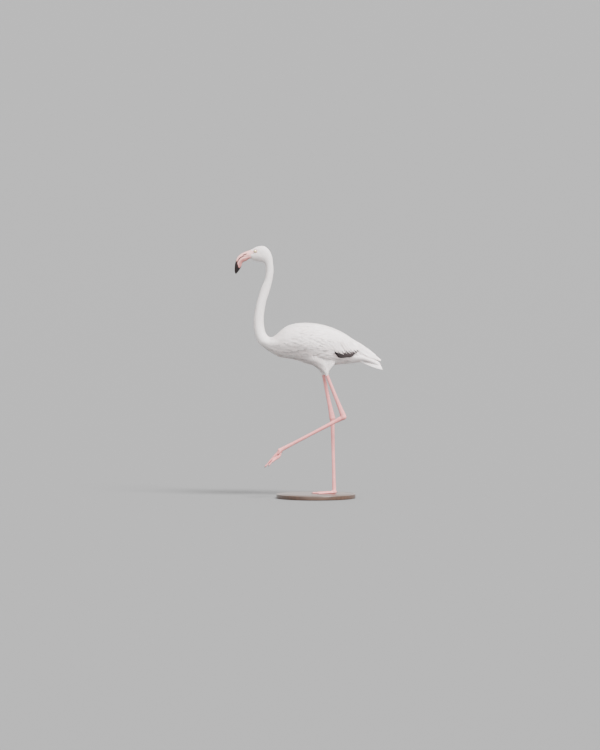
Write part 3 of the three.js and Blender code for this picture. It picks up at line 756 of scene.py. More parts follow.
def gatherLocks(u, v, heading):
    # Each plume joins the lock with the least (along / gap)^2 + (across / gap)^2 + (off / gap)^2, turns
    # towards its line by meet * atan(across / meetAfter), and rises by ridge * (1 - (1.7 * across / gap)^2).
    # Those under a lock's lower edge get painted shade.
    span = (u.min(), u.max()), (v.min(), v.max())
    lockU, lockV = scatter(coat, *span, even(locks["along"]), even(locks["across"]), 0.45)
    _, _, normal = tangents(coat, lockU, lockV)
    way = bodyHeading(lockU, lockV)
    gap = (coat(u, v) / mm)[:, None] - (coat(lockU, lockV) / mm)[None]
    along, off = dot(gap, way[None]), dot(gap, normal[None])
    across = dot(gap, np.cross(normal, way)[None])
    shares = along / locks["along"], across / locks["across"], off / locks["off"]
    near = np.argmin(shares[0] ** 2 + shares[1] ** 2 + shares[2] ** 2, axis=1)
    across = across[np.arange(len(u)), near]
    strength = smoothStep(15, 18.5, u) * (0.15 + 0.85 * smoothStep(0.22, 0.42, fallShare(v)))
    turn = -strength * locks["meet"] * np.arctan(across / locks["meetAfter"])
    aside = np.cross(tangents(coat, u, v)[2], heading)
    heading = heading * np.cos(turn)[:, None] + aside * np.sin(turn)[:, None]
    full = rng.uniform(0.25, 1, len(lockU))[near]
    proud = full * np.clip(1 - (1.7 * across / locks["across"]) ** 2, -0.35, 1)
    below = across * np.sign(coat(u, v)[:, 1]) / locks["across"]
    # Painted shade under each lock's lower edge.
    between = strength * full * (smoothStep(0.08, 0.42, below) + 0.35 * smoothStep(-0.3, -0.5, below))
    return heading, strength * locks["ridge"] * proud, between


def bodyPlumes(uSpan, vSpan, shape, keep=None):
    # The plumes of a stretch of the body: each a little longer or wider than its neighbour, and a few raised.
    u, v = scatter(coat, uSpan, vSpan, lambda u: plumeLength(u) * plumes["rowShare"],
                   lambda u: plumeWidth(u) * plumes["columnShare"])
    if keep is not None:
        chosen = keep(u, v)
        u, v = u[chosen], v[chosen]
    depth = coatDepth(u)
    length = plumeLength(u) * rng.uniform(0.8, 1.15, len(u))
    width = plumeWidth(u) * rng.uniform(0.85, 1.15, len(u))
    raised = np.where(rng.random(len(u)) < 0.04, rng.uniform(0.2, 0.6, len(u)), 0)
    tipLift = 0.1 + (raised + rng.uniform(-0.12, 0.12, len(u))) * np.minimum(depth * 0.3, 1)
    heading, ridge, between = bodyHeading(u, v), 0, np.zeros(len(u))
    if uSpan[1] > 16:
        heading, ridge, between = gatherLocks(u, v, heading)
    laid = layFeathers(coat, u, v, shape, length, width, -0.85 * depth, tipLift + ridge,
                       heading=heading, camber=0.1 + 0.03 * plumeWidth(u))
    return {**laid, "between": between}


def bodyWisps(uSpan, vSpan, spacing, reach, lift, keep=None):
    # Loose barbs over the vanes: very narrow strands that stand a little off and stray from the lie.
    u, v = scatter(coat, uSpan, vSpan, even(spacing[0]), even(spacing[1]), 0.5)
    if keep is not None:
        chosen = keep(u, v)
        u, v = u[chosen], v[chosen]
    length = reach * plumeLength(u) * rng.uniform(0.7, 1.2, len(u))
    loose = 0.3 + 0.7 * smoothStep(0.2, 0.5, fallShare(v)) + 1.4 * smoothStep(0.7, 0.95, fallShare(v))
    return layFeathers(coat, u, v, "down", length, rng.uniform(0.9, 1.8, len(u)), -1.0,
                       lift * loose * rng.uniform(0.2, 1, len(u)) ** 2 * np.minimum(coatDepth(u) / 6, 1),
                       heading=bodyHeading(u, v), jitter=7, camber=0.15, curl=1.3)


def isFeathered(u, v):
    x, _, z = toMillimetres(coat(u, v))
    return rng.random(len(u)) > bareFace(x, z) * 1.6 - 0.3


def clearOfQuills(u, v):
    # False for a plume whose root, middle or tip would lie over the dark flight feathers.
    root, way = coat(u, v), bodyHeading(u, v)
    clear = np.ones(len(u), bool)
    for share in (0.1, 0.4, 0.7, 1.0, 1.2):
        x, _, z = toMillimetres(root + way * (share * plumeLength(u) * mm)[:, None])
        above = z > np.interp(x, quills["edgeX"], quills["edgeZ"])
        below = z < np.interp(x, wing["fringeX"], wing["fringeZ"])
        clear &= ~(above & below & (x > quills["edgeX"][0]) & (x < quills["edgeX"][-1]))
    return clear


wing = {
    # Scapulars hang over the dark quills with their tips along a ragged fringe, and tertials reach the tip,
    # each shorter and thinner than the one below. Of a pair of lengths or widths, the first is the least.
    # Falls are in degrees below the level.
    "scapularSpan": (20.5, 27.5),
    "scapularGaps": (8, 6.5),
    "scapularLength": (40, 58),
    "scapularWidth": (7, 9.5),
    "scapularAbove": 54,
    "fringeX": [84, 92, 104, 125, 140, 155, 178, 196],
    "fringeZ": [624, 615, 606, 602, 603, 605, 610, 618],
    "fringeCount": 50,
    "fringeFall": 52,
    "fringeLength": (44, 62),
    "fringeWidth": (4, 6.5),
    "tertials": 7,
    "tertialTip": (279, 573.5),
    "tertialStep": (-7, 2.3),
    "tertialFall": 33,
    "tertialLength": 108,
    "tertialShorter": 5,
    "tertialWidth": 14,
    "tertialThinner": 0.3,
}
quills = {
    # Where the first quill's root and tip lie, and the step of each to the next quill, in millimetres. Then
    # the lower edge of their patch.
    "count": 13,
    "root": (84, 624),
    "rootStep": (1.2, -2.6),
    "tip": (196, 619),
    "tipStep": (-3.4, -2.4),
    "width": 11,
    "edgeX": [84, 100, 128, 155, 196],
    "edgeZ": [612, 588, 586, 588, 610],
}
stretches = {
    # Sections that each piece of the coat covers, a little over the next one's roots, and the turns round
    # them of the back and of each flank.
    "head": (0.15, 7.2),
    "neck": (7.0, 14.6),
    "breast": (14.4, 19.2),
    "body": (19.0, 29.1),
    "back": (-0.22, 0.22),
    "flanks": {"Left": (0.5, 0.8), "Right": (0.2, 0.5)},
}
allRound = (0, 1)

for label, side in (("Left", -1), ("Right", 1)):
    featherPiece(f"headCoat{label}",
                 [bodyPlumes(stretches["head"], halfTurn(side), "down", keep=isFeathered)],
                 plume, (0, 7.5))
featherPiece("neckCoat", [bodyPlumes(stretches["neck"], allRound, "down")], plume, (6.8, 14.8))
featherPiece(
    "breastCoat",
    [bodyPlumes(stretches["breast"], allRound, "round"),
     bodyWisps((15, 19.2), allRound, (6.5, 3.2), 0.7, 1.4)],
    plume, (14, 19.5))
featherPiece(
    "backCoat",
    [bodyPlumes(stretches["body"], stretches["back"], "round"),
     bodyWisps((19, 28.5), stretches["back"], (9, 4.5), 0.6, 1.2)],
    plume, (18.8, 30), (-0.25, 0.25))
for label, span in stretches["flanks"].items():
    featherPiece(
        f"flankCoat{label}",
        [bodyPlumes(stretches["body"], span, "round", keep=clearOfQuills),
         bodyWisps((19, 28), span, (8, 3.8), 0.7, 1.5, keep=clearOfQuills)],
        plume, (18.8, 30), (0.18, 0.82))


def scapulars(side):
    # Long pointed feathers over the upper half of the folded wing.
    u, v = scatter(coat, wing["scapularSpan"], halfTurn(side), even(wing["scapularGaps"][0]),
                   even(wing["scapularGaps"][1]))
    x, _, z = toMillimetres(coat(u, v))
    low = np.interp(x, wing["fringeX"], wing["fringeZ"]) + wing["scapularAbove"] + 6 * smoothStep(60, -20, x)
    chosen = (x > -30) & (x < 158) & (z > low) & (fallShare(v) > 0.03)
    u, v, count = u[chosen], v[chosen], chosen.sum()
    length, width = rng.uniform(*wing["scapularLength"], count), rng.uniform(*wing["scapularWidth"], count)
    lift = rng.uniform(0.3, 1.2 + 0.8 * smoothStep(20, 80, x[chosen]))
    return layFeathers(coat, u, v, "lance", length, width, -2.5, lift, droop=bodyDroop(u, v))


def fringe(side):
    # The lowest scapulars, whose tips make the ragged line over the dark quills.
    count = wing["fringeCount"]
    tipX = np.linspace(wing["fringeX"][0], wing["fringeX"][-1], count)
    tipX = tipX + rng.normal(0, 2, count)
    tipZ = np.interp(tipX, wing["fringeX"], wing["fringeZ"]) + rng.uniform(-4, 10, count)
    tipZ = tipZ + 14 * rng.uniform(0, 1, count) ** 2 * bell(tipX, 150, 24)
    fall = wing["fringeFall"] - 14 * smoothStep(125, 185, tipX) + rng.normal(0, 4, count)
    long = rng.uniform(*wing["fringeLength"], count)
    angle = np.radians(fall)
    u, v = findOn(coat, tipX - long * np.cos(angle), tipZ + long * np.sin(angle), side, (21, 29))
    proud = 2.0 + 2.6 * smoothStep(84, 108, tipX)
    slim = rng.uniform(*wing["fringeWidth"], count) * (1 - 0.42 * smoothStep(120, 145, tipX))
    return layFeathers(coat, u, v, "lance", long, slim, 0.0, proud * rng.uniform(0.8, 1.2, count),
                       droop=fall, jitter=2, camber=0.4, curl=0.7)


def tertials(side):
    # The longest feathers of the folded wing, stacked from its tip upwards.
    k = np.arange(wing["tertials"])
    tipX, tipZ = (wing["tertialTip"][i] + wing["tertialStep"][i] * k for i in (0, 1))
    tipZ = tipZ + 1.0 * np.sin(2.3 * k)
    long = wing["tertialLength"] - wing["tertialShorter"] * k
    angle = np.radians(wing["tertialFall"] + 0.6 * np.cos(1.9 * k))
    spots = []
    for share, lift in ((1.0, -1.5 + 0 * k), (0.5, 1.2 + 0.15 * k), (0.0, 0.9 + 0.6 * k)):
        x, z = tipX - share * long * np.cos(angle), tipZ + share * long * np.sin(angle)
        u, v = findOn(coat, x, z, side, (23, 30))
        spots.append((coat(u, v, lift), tangents(coat, u, v)[2], np.stack([u, v], -1)))
    root, middle, tip = spots
    width = wing["tertialWidth"] - wing["tertialThinner"] * k
    return freeFeathers(root[0], middle[0], tip[0], middle[1], "quill", width, root[2])


def darkQuills(side):
    # Dark flight feathers under the fringe, fanned so that their lower edges close to a wedge at the rear.
    k = np.arange(quills["count"])
    x, z = (quills["root"][i] + quills["rootStep"][i] * k for i in (0, 1))
    tipX, tipZ = (quills["tip"][i] + quills["tipStep"][i] * k for i in (0, 1))
    tipX = tipX + 3 * np.sin(2.1 * k)
    u, v = findOn(coat, x, z, side, (22, 29))
    length, fall = np.hypot(tipX - x, z - tipZ), np.degrees(np.arctan2(z - tipZ, tipX - x))
    return [layFeathers(coat, u, v, "quill", length, quills["width"], -0.9, 2.6 + 0.06 * k, droop=fall,
                        jitter=0.6, camber=0.7, curl=0.5)]


for label, side, span in (("left", -1, (0.45, 1.05)), ("right", 1, (-0.05, 0.55))):
    featherPiece(f"scapulars_{label}", [scapulars(side), fringe(side), tertials(side)],
                 longPlume, (18, 31), span)
    flight = featherPiece(f"flight_{label}", darkQuills(side), darkVane, (22, 30), span)
    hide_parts(f"flight_feathers_{label}")

tail = {
    # Pairs of blades in a roof. Each pair leans out further than the last, its roots and tips lie further
    # out and lower, and its blades are longer and thinner. Roots are x and z, tips x, y and z.
    "perSide": 6,
    "width": 18,
    "thinner": 1.1,
    "lean": (16, 14),
    "root": (168, 606),
    "rootOut": 18,
    "rootDown": 24,
    "tip": (270, 0.5, 569.5),
    "tipOut": 11,
    "tipStep": (3.5, 6.7),
    "covertGaps": (6.5, 4.2),
    "covertLength": ([0, 2, 4], [42, 40, 30]),
    "covertWidth": 8.5,
}


def tailFeathers():
    # Pointed feathers in a roof, the middle pair highest and shortest, with coverts round their roots.
    sets = []
    k = np.arange(tail["perSide"])
    lean = np.radians(tail["lean"][0] + tail["lean"][1] * k)
    (rootX, rootZ), (tipX, tipY, tipZ), (stepX, stepZ) = tail["root"], tail["tip"], tail["tipStep"]
    for side in (-1, 1):
        rootY, lower = 1 + tail["rootOut"] * np.sin(lean), tail["rootDown"] * (1 - np.cos(lean))
        root = np.stack([rootX + 0 * k, side * rootY, rootZ - lower], -1)
        out = tipY + tail["tipOut"] * np.sin(lean)
        tip = np.stack([tipX + stepX * k, side * out, tipZ - stepZ * k], -1)
        middle = (root + tip) / 2 + np.stack([0 * k, side * (2 + 0.5 * k), 3.0 - 0.5 * k], -1)
        normal = np.stack([0.3 * np.cos(lean), side * np.sin(lean), np.cos(lean)], -1)
        parameters = np.stack([1 + 0 * k, 0.5 + side * (0.45 - 0.06 * k)], -1)
        sets.append(freeFeathers(toMetres(root), toMetres(middle), toMetres(tip), normal, "quill",
                                 tail["width"] - tail["thinner"] * k, parameters))
    u, v = scatter(tailForm, (0.2, 3.5), (0, 1), even(tail["covertGaps"][0]), even(tail["covertGaps"][1]))
    long = np.interp(u, *tail["covertLength"]) * rng.uniform(0.85, 1.15, len(u))
    sets.append(layFeathers(tailForm, u, v, "round", long, tail["covertWidth"], -2.0,
                            0.1 + rng.uniform(0, 0.4, len(u)), camber=0.3))
    return sets


featherPiece("tailCoat", tailFeathers(), longPlume, (0, 5.2))

thighPlumes = {
    # By section from the flank down: gaps between rows and within a row, length, width, and how deep roots
    # lie. Then the gaps and length of the loose down, whose roots all lie below a level.
    "rows": ([0, 7], [5.5, 2.6]),
    "columns": ([0, 7], [3.2, 1.3]),
    "length": ([0, 3, 5, 7], [34, 30, 17, 9]),
    "width": ([0, 4, 7], [6, 4.6, 2]),
    "root": ([0, 4, 7], [-5, -4.5, -1.2]),
    "looseRows": ([0, 7], [7, 4]),
    "looseColumns": ([0, 7], [4, 2]),
    "looseLength": ([0, 7], [24, 9]),
    "looseBelow": 566,
}


def thighFeathers(label):
    # Soft feathers that come off the flank, narrow down the thigh and end in a loose edge over the bare shin.
    form, side = thighForm[label], legs[label]["side"]
    u, v = scatter(form, (0.4, form.last - 0.25), (0, 1), bySection(*thighPlumes["rows"]),
                   bySection(*thighPlumes["columns"]))
    point = form(u, v)
    x, _, z = toMillimetres(point)
    flank = coat(*findOn(coat, x, z, side, (18, 28)))
    proud = np.abs(point[:, 1]) - np.abs(flank[:, 1])
    bare = (proud > rng.uniform(-0.5, 1.5, len(u)) * mm) | (point[:, 2] < flank[:, 2] - 2 * mm)
    chosen = bare & ((point[:, 1] * side > 10 * mm) | (u > 3.5))
    u, v = u[chosen], v[chosen]
    long = np.interp(u, *thighPlumes["length"]) * rng.uniform(0.75, 1.2, len(u))
    # Locks run down the thigh: their ridges and the painted shade between them follow one wave round it.
    wave = 0.5 + 0.5 * np.sin(2 * np.pi * 7 * v + 1.7 * np.sin(1.3 * u) + 0.6 * np.sin(5.1 * u))
    strength = smoothStep(0.5, 2, u) * smoothStep(7, 5, u)
    tipLift = rng.uniform(0, 0.9, len(u)) ** 2 + 0.1 + 1.1 * wave * strength
    plain = layFeathers(form, u, v, "round", long, np.interp(u, *thighPlumes["width"]),
                        np.interp(u, *thighPlumes["root"]), tipLift, camber=0.2, jitter=7)
    # Painted shade between the thigh's locks.
    plain["between"] = 0.6 * (1 - wave) * strength
    u, v = scatter(form, (1.5, form.last - 0.6), (0, 1), bySection(*thighPlumes["looseRows"]),
                   bySection(*thighPlumes["looseColumns"]), 0.5)
    low = toMillimetres(form(u, v))[2] < thighPlumes["looseBelow"]
    u, v = u[low], v[low]
    loose = layFeathers(form, u, v, "down", np.interp(u, *thighPlumes["looseLength"]), 1.3, -1.0,
                        1.6 * rng.uniform(0.2, 1, len(u)) ** 2, jitter=8, camber=0.15, curl=1.3)
    return [plain, loose]


for label in legs:
    featherPiece(f"thighCoat_{label}", thighFeathers(label), plume, (0, 7))


# Skin


def lidDistance(x, z):
    # Distance from the eye's middle, scaled so that the opening is an almond:
    # radius / (1 + 0.12 cos(2 turn) - 0.06 sin(turn)).
    turn = np.arctan2(z, x)
    return np.hypot(x, z) / (1 + 0.12 * np.cos(2 * turn) - 0.06 * np.sin(turn))


def eyelids(point):
    # Lift of the skin round each eye: a raised rim just outside the opening, heavier above, folds behind it,
    # and a deep hole inside it.
    x, side, z = toMillimetres(point)
    away = lidDistance(x - eye["x"], z - eye["z"])
    rim = (0.75 + 0.25 * smoothStep(-2, 4, z - eye["z"])) * bell(away, eye["opening"] + 1.0, 0.75)
    fold = -0.4 * bell(away, eye["opening"] + 2.5, 0.55) + 0.22 * bell(away, eye["opening"] + 3.5, 0.7)
    fold = fold - 0.22 * bell(away, eye["opening"] + 4.5, 0.45) * smoothStep(-3, 3, eye["z"] - z)
    hole = -5.0 * smoothStep(eye["opening"] + 0.3, eye["opening"] - 0.5, away)
    return np.where(np.abs(side) > 6, rim + fold + hole, 0) * smoothStep(-300, -280, x)


# Rings of the skin along the head, neck and trunk as first section, last section and count, and the points
# round each. Rings and points crowd together at the eyes.
torsoNet = {"head": (-0.12, 5.5, 165), "neck": (5.5, 14, 46), "trunk": (14, 30, 52), "around": 169}


def torsoSkin():
    # The coat's own form, drawn in by the depth of the plumage, with the bare face at full size.
    eyeU, eyeV = findOn(coat, np.array([eye["x"]]), np.array([eye["z"]]), 1, (0, 4))
    head = packedSteps(*torsoNet["head"], [eyeU[0]], 0.42, 5)
    rest = [np.linspace(*torsoNet[stretch])[1:] for stretch in ("neck", "trunk")]
    uSteps = np.concatenate([head, *rest])[:, None]
    vSteps = packedSteps(0, 1, torsoNet["around"], [eyeV[0], 1 - eyeV[0]], 0.045, 4)[None, :-1]
    outer = coat(uSteps, vSteps)
    x, _, z = toMillimetres(outer)
    onHead = uSteps < 5
    bare = bareFace(x, z) * onHead
    depth = (coatDepth(uSteps) + 0.25) * (1 - bare) + 0.1 * bare
    return coat(uSteps, vSteps, eyelids(outer) * onHead - depth)


def boneField(x, y, z, start, end, rows):
    # Signed distance, nearly, to a tapering bone with oval sections:
    # (distance in units of the oval - 1) * its smaller radius.
    rows = np.array(rows)
    axis = end - start
    length = np.linalg.norm(axis)
    axis = axis / length
    foreAft = unit(np.cross([0, 1, 0], axis))
    px, py, pz = x - start[0], y - start[1], z - start[2]
    s = (px * axis[0] + py * axis[1] + pz * axis[2]) / length
    held = np.clip(s, rows[0, 0], rows[-1, 0])
    deep, wide = np.interp(held, rows[:, 0], rows[:, 1]), np.interp(held, rows[:, 0], rows[:, 2])
    a = px * foreAft[0] + py * foreAft[1] + pz * foreAft[2]
    sideways = np.cross(axis, foreAft)
    b = px * sideways[0] + py * sideways[1] + pz * sideways[2]
    c = (s - held) * length
    return (np.sqrt((a / deep) ** 2 + (b / wide) ** 2 + (c / wide) ** 2) - 1) * np.minimum(deep, wide)


def capsuleField(x, y, z, start, end, radii):
    # Signed distance to a round bone: distance to its axis less the radius there.
    axis = end - start
    square = max(dot(axis, axis), 1e-12)
    px, py, pz = x - start[0], y - start[1], z - start[2]
    s = np.clip((px * axis[0] + py * axis[1] + pz * axis[2]) / square, 0, 1)
    away = np.sqrt((px - s * axis[0]) ** 2 + (py - s * axis[1]) ** 2 + (pz - s * axis[2]) ** 2)
    return away - radii[0] - (radii[1] - radii[0]) * s


def ovalField(x, y, z, centre, radii, turn):
    # Signed distance, nearly, to an oval ball: (distance in units of the ball - 1) * its smallest radius.
    p = np.stack(np.broadcast_arrays(x - centre[0], y - centre[1], z - centre[2]), -1) @ turn
    return (np.sqrt(((p / radii) ** 2).sum(-1)) - 1) * min(radii)


def footTurn(leg):
    # Rows of the foot's own axes in the bird's frame: pitched about Y, then turned about Z.
    pitch, turn = math.radians(-leg["footPitch"]), math.radians(leg["footTurn"] * leg["side"])
    a, b, c, d = math.cos(pitch), math.sin(pitch), math.cos(turn), math.sin(turn)
    return np.array([[c, -d, 0], [d, c, 0], [0, 0, 1]]) @ np.array([[a, 0, b], [0, 1, 0], [-b, 0, a]])


def toeWay(toe, leg):
    # The way a toe points in the foot's frame: ahead, turned aside and drooping.
    turn = math.radians(toe["angle"] * leg["toeSpread"])
    droop = math.radians(abs(toe["angle"]) * leg["toeDroop"])
    return np.array([-math.cos(turn) * math.cos(droop), math.sin(turn) * math.cos(droop), -math.sin(droop)])


def toeLine(toe, leg, t):
    # Middle line and radius of a toe in the foot's frame: straight, with a swelling at each knuckle. A
    # planted toe comes down to the sole, and the side toes of a hanging foot sag by sin^2(pi * sqrt(t)).
    radius = (toe["root"] + (toe["tip"] - toe["root"]) * t) * (1 + 0.09 * np.cos(t * 6 * np.pi))
    settle = smoothStep(0, 0.2, t) if leg["planted"] else 0 * t
    line = toeWay(toe, leg)[None] * (toe["length"] * t)[:, None]
    sag = abs(toe["angle"]) * leg["toeSag"] * np.sin(np.pi * np.sqrt(t)) ** 2
    line[:, 2] += (radius - soleDrop - 0.3) * settle - sag
    return line, radius


def webNet(first, second, leg):
    # Points of the web between two toes, from one toe to the other, pulled back towards the joint by
    # 4w(1 - w) * scoop at its free edge.
    t, w = np.linspace(0.06, web["reach"], 44), np.linspace(0, 1, 6)
    ends = [toeLine(toe, leg, t)[0] for toe in (first, second)]
    net = ends[0][:, None] * (1 - w)[None, :, None] + ends[1][:, None] * w[None, :, None]
    net = net * (1 - web["scoop"] * 4 * (w * (1 - w))[None] * ((t / web["reach"]) ** 2)[:, None])[..., None]
    if leg["planted"]:
        net[..., 2] = (web["thick"] / 2 - soleDrop * np.minimum(t / 0.2, 1))[:, None]
    return net


def hindLine(leg):
    drop = math.radians(leg["hindDrop"])
    way = np.array([math.cos(drop), 0, -math.sin(drop)])
    root = np.array([0, 0, hindToe["rise"] * math.cos(drop)])
    return root, way


def footPoint(leg, point):
    # From the foot's own axes round its toe joint to the bird's.
    return np.asarray(point, float) @ footTurn(leg).T + legPoint(leg, "toeJoint")


def blockAround(a, b, margin, low, step, shape):
    # Slices of a field that hold a bone from a to b with a margin round it.
    first = ((np.minimum(a, b) - margin - low) / step).astype(int)
    last = ((np.maximum(a, b) + margin - low) / step).astype(int) + 2
    return tuple(slice(*np.clip(ends, 0, count)) for ends, count in zip(zip(first, last), shape))


def legParts(leg):
    # Ends, margin, blend, field and its own values for each bone of shin, ankle, tarsus, toes and webs.
    knee, ankle, toeJoint = (legPoint(leg, joint) for joint in ("knee", "ankle", "toeJoint"))
    turn, pad = footTurn(leg), footPoint(leg, [-8, 0, -4.5])
    parts = [
        (knee, ankle, 14, 4.0, boneField, (knee, ankle, shinRows)),
        (ankle, toeJoint, 14, 4.0, boneField, (ankle, toeJoint, tarsusRows)),
        (toeJoint, toeJoint, 14, 4.0, ovalField, (toeJoint, np.array([8.4, 8.4, 8.0]), turn)),
        (toeJoint, toeJoint, 26, 4.0, ovalField, (pad, np.array([14, 9.5, 6.0]), turn)),
    ]
    root, way = hindLine(leg)
    ends = footPoint(leg, root), footPoint(leg, root + way * hindToe["length"])
    parts.append((*ends, 8, 2.0, boneField, (*ends, hindToe["rows"])))
    for toe in toes.values():
        line, radius = toeLine(toe, leg, np.linspace(0, 1, 19))
        line = footPoint(leg, line)
        for i in range(len(line) - 1):
            ends = line[i], line[i + 1]
            parts.append((*ends, 9, 0.6 if i else 3.0, capsuleField, (*ends, radius[i:i + 2])))
    thin = [web["thick"] / 2, web["thick"] / 2]
    for first, second in (("outer", "middle"), ("middle", "inner")):
        for row in footPoint(leg, webNet(toes[first], toes[second], leg)):
            for ends in zip(row[:-1], row[1:]):
                parts.append((*ends, 4, 0.8, capsuleField, (*ends, thin)))
    return parts


legNet = {"step": 1.4, "margin": 34, "far": 60.0}


def legSkin(leg):
    # One field of all the bones, each blended into the ones before it, turned into a mesh at zero. The bones
    # have a margin round them, and where none is near the field is far.
    parts, step = legParts(leg), legNet["step"]
    ends = np.array([end for part in parts for end in part[:2]])
    low, high = ends.min(0) - legNet["margin"], ends.max(0) + legNet["margin"]
    shape = np.ceil((high - low) / step).astype(int)
    field = np.full(shape, legNet["far"], np.float32)
    axes = [low[i] + step * np.arange(shape[i]) for i in range(3)]
    for a, b, margin, blend, distance, values in parts:
        near = blockAround(a, b, margin, low, step, shape)
        x, y, z = np.ix_(*(axis[part] for axis, part in zip(axes, near)))
        fresh = distance(x, y, z, *values)
        past = field[near]
        h = np.clip(0.5 + 0.5 * (past - fresh) / blend, 0, 1)
        field[near] = past * (1 - h) + fresh * h - blend * h * (1 - h)
    if leg["planted"]:
        field = np.maximum(field, -axes[2][None, None, :])
    grid = openvdb.FloatGrid(legNet["far"])
    grid.copyFromArray(field.astype(np.float32))
    points, _, quads = grid.convertToPolygons(isovalue=0.0, adaptivity=0.0)
    return toMetres(points.astype(float) * step + low), quads


def joinSolids(name, solids):
    # One closed skin from several overlapping solids.
    whole = None
    for i, (points, quads, tris) in enumerate(solids):
        part = addMesh(f"{name}{i}", points, quads, tris)
        if whole is None:
            whole = part
            continue
        cut = whole.modifiers.new("join", "BOOLEAN")
        cut.operation, cut.solver, cut.object = "UNION", "MANIFOLD", part
        result = bpy.data.meshes.new_from_object(whole.evaluated_get(bpy.context.evaluated_depsgraph_get()))
        whole.modifiers.clear()
        whole.data = result
        bpy.data.objects.remove(part)
    whole.name = name
    whole.data.polygons.foreach_set("use_smooth", np.ones(len(whole.data.polygons), bool))
    return whole


around = np.linspace(0, 1, 41)[None, :-1]
solids = [tube(torsoSkin()), tube(tailForm(np.linspace(0, 4.9, 24)[:, None], around, -2.2))]
for form in thighForm.values():
    steps = np.linspace(0, form.last - 0.1, 28)[:, None]
    solids.append(tube(form(steps, around, -np.interp(steps, [0, 4, 7], [5.5, 5, 1.6]))))
for label, leg in legs.items():
    points, quads = legSkin(leg)
    if signedVolume(points, quads) < 0:
        quads = quads[:, ::-1]
    print(f"{label} leg: {len(quads)} faces")
    solids.append((points, quads, None))
skin = joinSolids("skin", solids)
print(f"skin: {sum(len(p.vertices) - 2 for p in skin.data.polygons)} triangles")


def legBones(leg):
    # Ends, radius, the way its plates face, and how far down the foot it starts, for each bone.
    knee, ankle, toeJoint = (legPoint(leg, joint) for joint in ("knee", "ankle", "toeJoint"))
    bones = [(knee, ankle, 8, np.cross([0, 1, 0], ankle - knee), 0.0),
             (ankle, toeJoint, 7, np.cross([0, 1, 0], toeJoint - ankle), 0.0)]
    above = footTurn(leg) @ np.array([0.0, 0, 1])
    for toe in toes.values():
        line, radius = toeLine(toe, leg, np.linspace(0, 1, 8))
        line = footPoint(leg, line)
        bones += [(line[i], line[i + 1], radius[i], above, i * toe["length"] / 7) for i in range(7)]
    return bones


# Feathers end and scales begin over this height on the shins, and the face and the eye's rim lie over these.
bareLeg = (527, 517)
faceAbove, rimAbove = 990, 1000
plateLength = 4.6


def skinMasks():
    # How much each point of the skin is bare leg, bare face or rim of the eye, from its place. Then its
    # distance down a leg or toe, and how squarely it faces ahead or up, for the scales.
    points = np.empty(len(skin.data.vertices) * 3, np.float32)
    skin.data.vertices.foreach_get("co", points)
    x, y, z = toMillimetres(points.reshape(-1, 3).astype(float))
    face = bareFace(x, z) * (z > faceAbove)
    lid = lidDistance(x - eye["x"], z - eye["z"])
    rim = smoothStep(eye["opening"] + 3.2, eye["opening"] + 0.8, lid) * (z > rimAbove)
    down, front = np.zeros(len(x)), np.zeros(len(x))
    p = np.stack([x, y, z], -1)
    for leg in legs.values():
        mine = (y * leg["side"] > 0) & (z < 530)
        best = np.full(len(x), 1e9)
        for a, b, thick, ahead, run in legBones(leg):
            axis = b - a
            length = np.linalg.norm(axis)
            s = np.clip(dot(p - a, axis) / length ** 2, 0, 1)
            away = p - a - s[:, None] * axis
            distance = np.linalg.norm(away, axis=1)
            closer = mine & (distance - thick < best)
            best = np.where(closer, distance - thick, best)
            down = np.where(closer, run + s * length, down)
            facing = dot(away, unit(ahead)) / np.maximum(distance, 1e-6) * smoothStep(4, 2, distance - thick)
            front = np.where(closer, facing, front)
    legPart = smoothStep(*bareLeg, z)
    return {"legPart": legPart, "face": face, "rim": rim, "down": down, "front": front}


for label, values in skinMasks().items():
    skin.data.attributes.new(label, "FLOAT", "POINT").data.foreach_set("value", values.astype(np.float32))


def skinMaterial():
    # Pink scaled legs, bare pink face with a darker rim round the eye, and the plumage's tone under feathers.
    # Small scales are cells; plates down the front of each leg and on the toes repeat along it.
    material, tree, shader = makeMaterial("bareSkin", (0.7, 0.4, 0.4), Roughness=0.55, Specular_IOR_Level=0.4)
    position = tree.position()
    tone = tree.group(toneGroup, {"Position": position})["Color"]
    legPart, face, rim = (tree.attribute(label) for label in ("legPart", "face", "rim"))
    cells = tree.add("ShaderNodeTexVoronoi", {"feature": "DISTANCE_TO_EDGE"},
                     {"Vector": position, "Scale": 640.0, "Randomness": 0.9})
    small = tree.step(cells.outputs["Distance"], 0.0, 0.16, 0.4)
    saw = tree.math("FRACT", tree.math("DIVIDE", tree.attribute("down"), plateLength))
    edge = tree.math("SUBTRACT", 0.5, tree.math("ABSOLUTE", tree.math("SUBTRACT", saw, 0.5)))
    scale = tree.mixNumber(tree.step(tree.attribute("front"), 0.35, 0.7), small, tree.step(edge, 0.0, 0.16))
    pink = tree.mix(tree.noise(position, 28.0, 4.0), (0.46, 0.14, 0.14), (0.66, 0.26, 0.25))
    pores = tree.noise(position, 900.0, 3.0)
    colour = tree.mix(face, tone, tree.mix(pores, (0.48, 0.25, 0.24), (0.68, 0.43, 0.41)))
    colour = tree.mix(tree.times(rim, 0.85), colour, (0.2, 0.09, 0.09))
    colour = tree.mix(legPart, colour, tree.mix(scale, (0.3, 0.085, 0.085), pink))
    tree.put(shader["Base Color"], colour)
    tree.put(shader["Normal"], tree.bump(tree.mixNumber(legPart, pores, scale), 0.7, 0.0004))
    return material


skin.data.materials.clear()
skin.data.materials.append(skinMaterial())
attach(skin, "root")
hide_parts("head", "neck_upper", "neck_middle", "neck_lower", "neck_base", "trunk", "tail",
            "wing_left", "wing_right", "thigh_left", "thigh_right", "shin_left", "shin_right",
            "tarsus_left", "tarsus_right", "foot_left", "foot_right")


# Bill

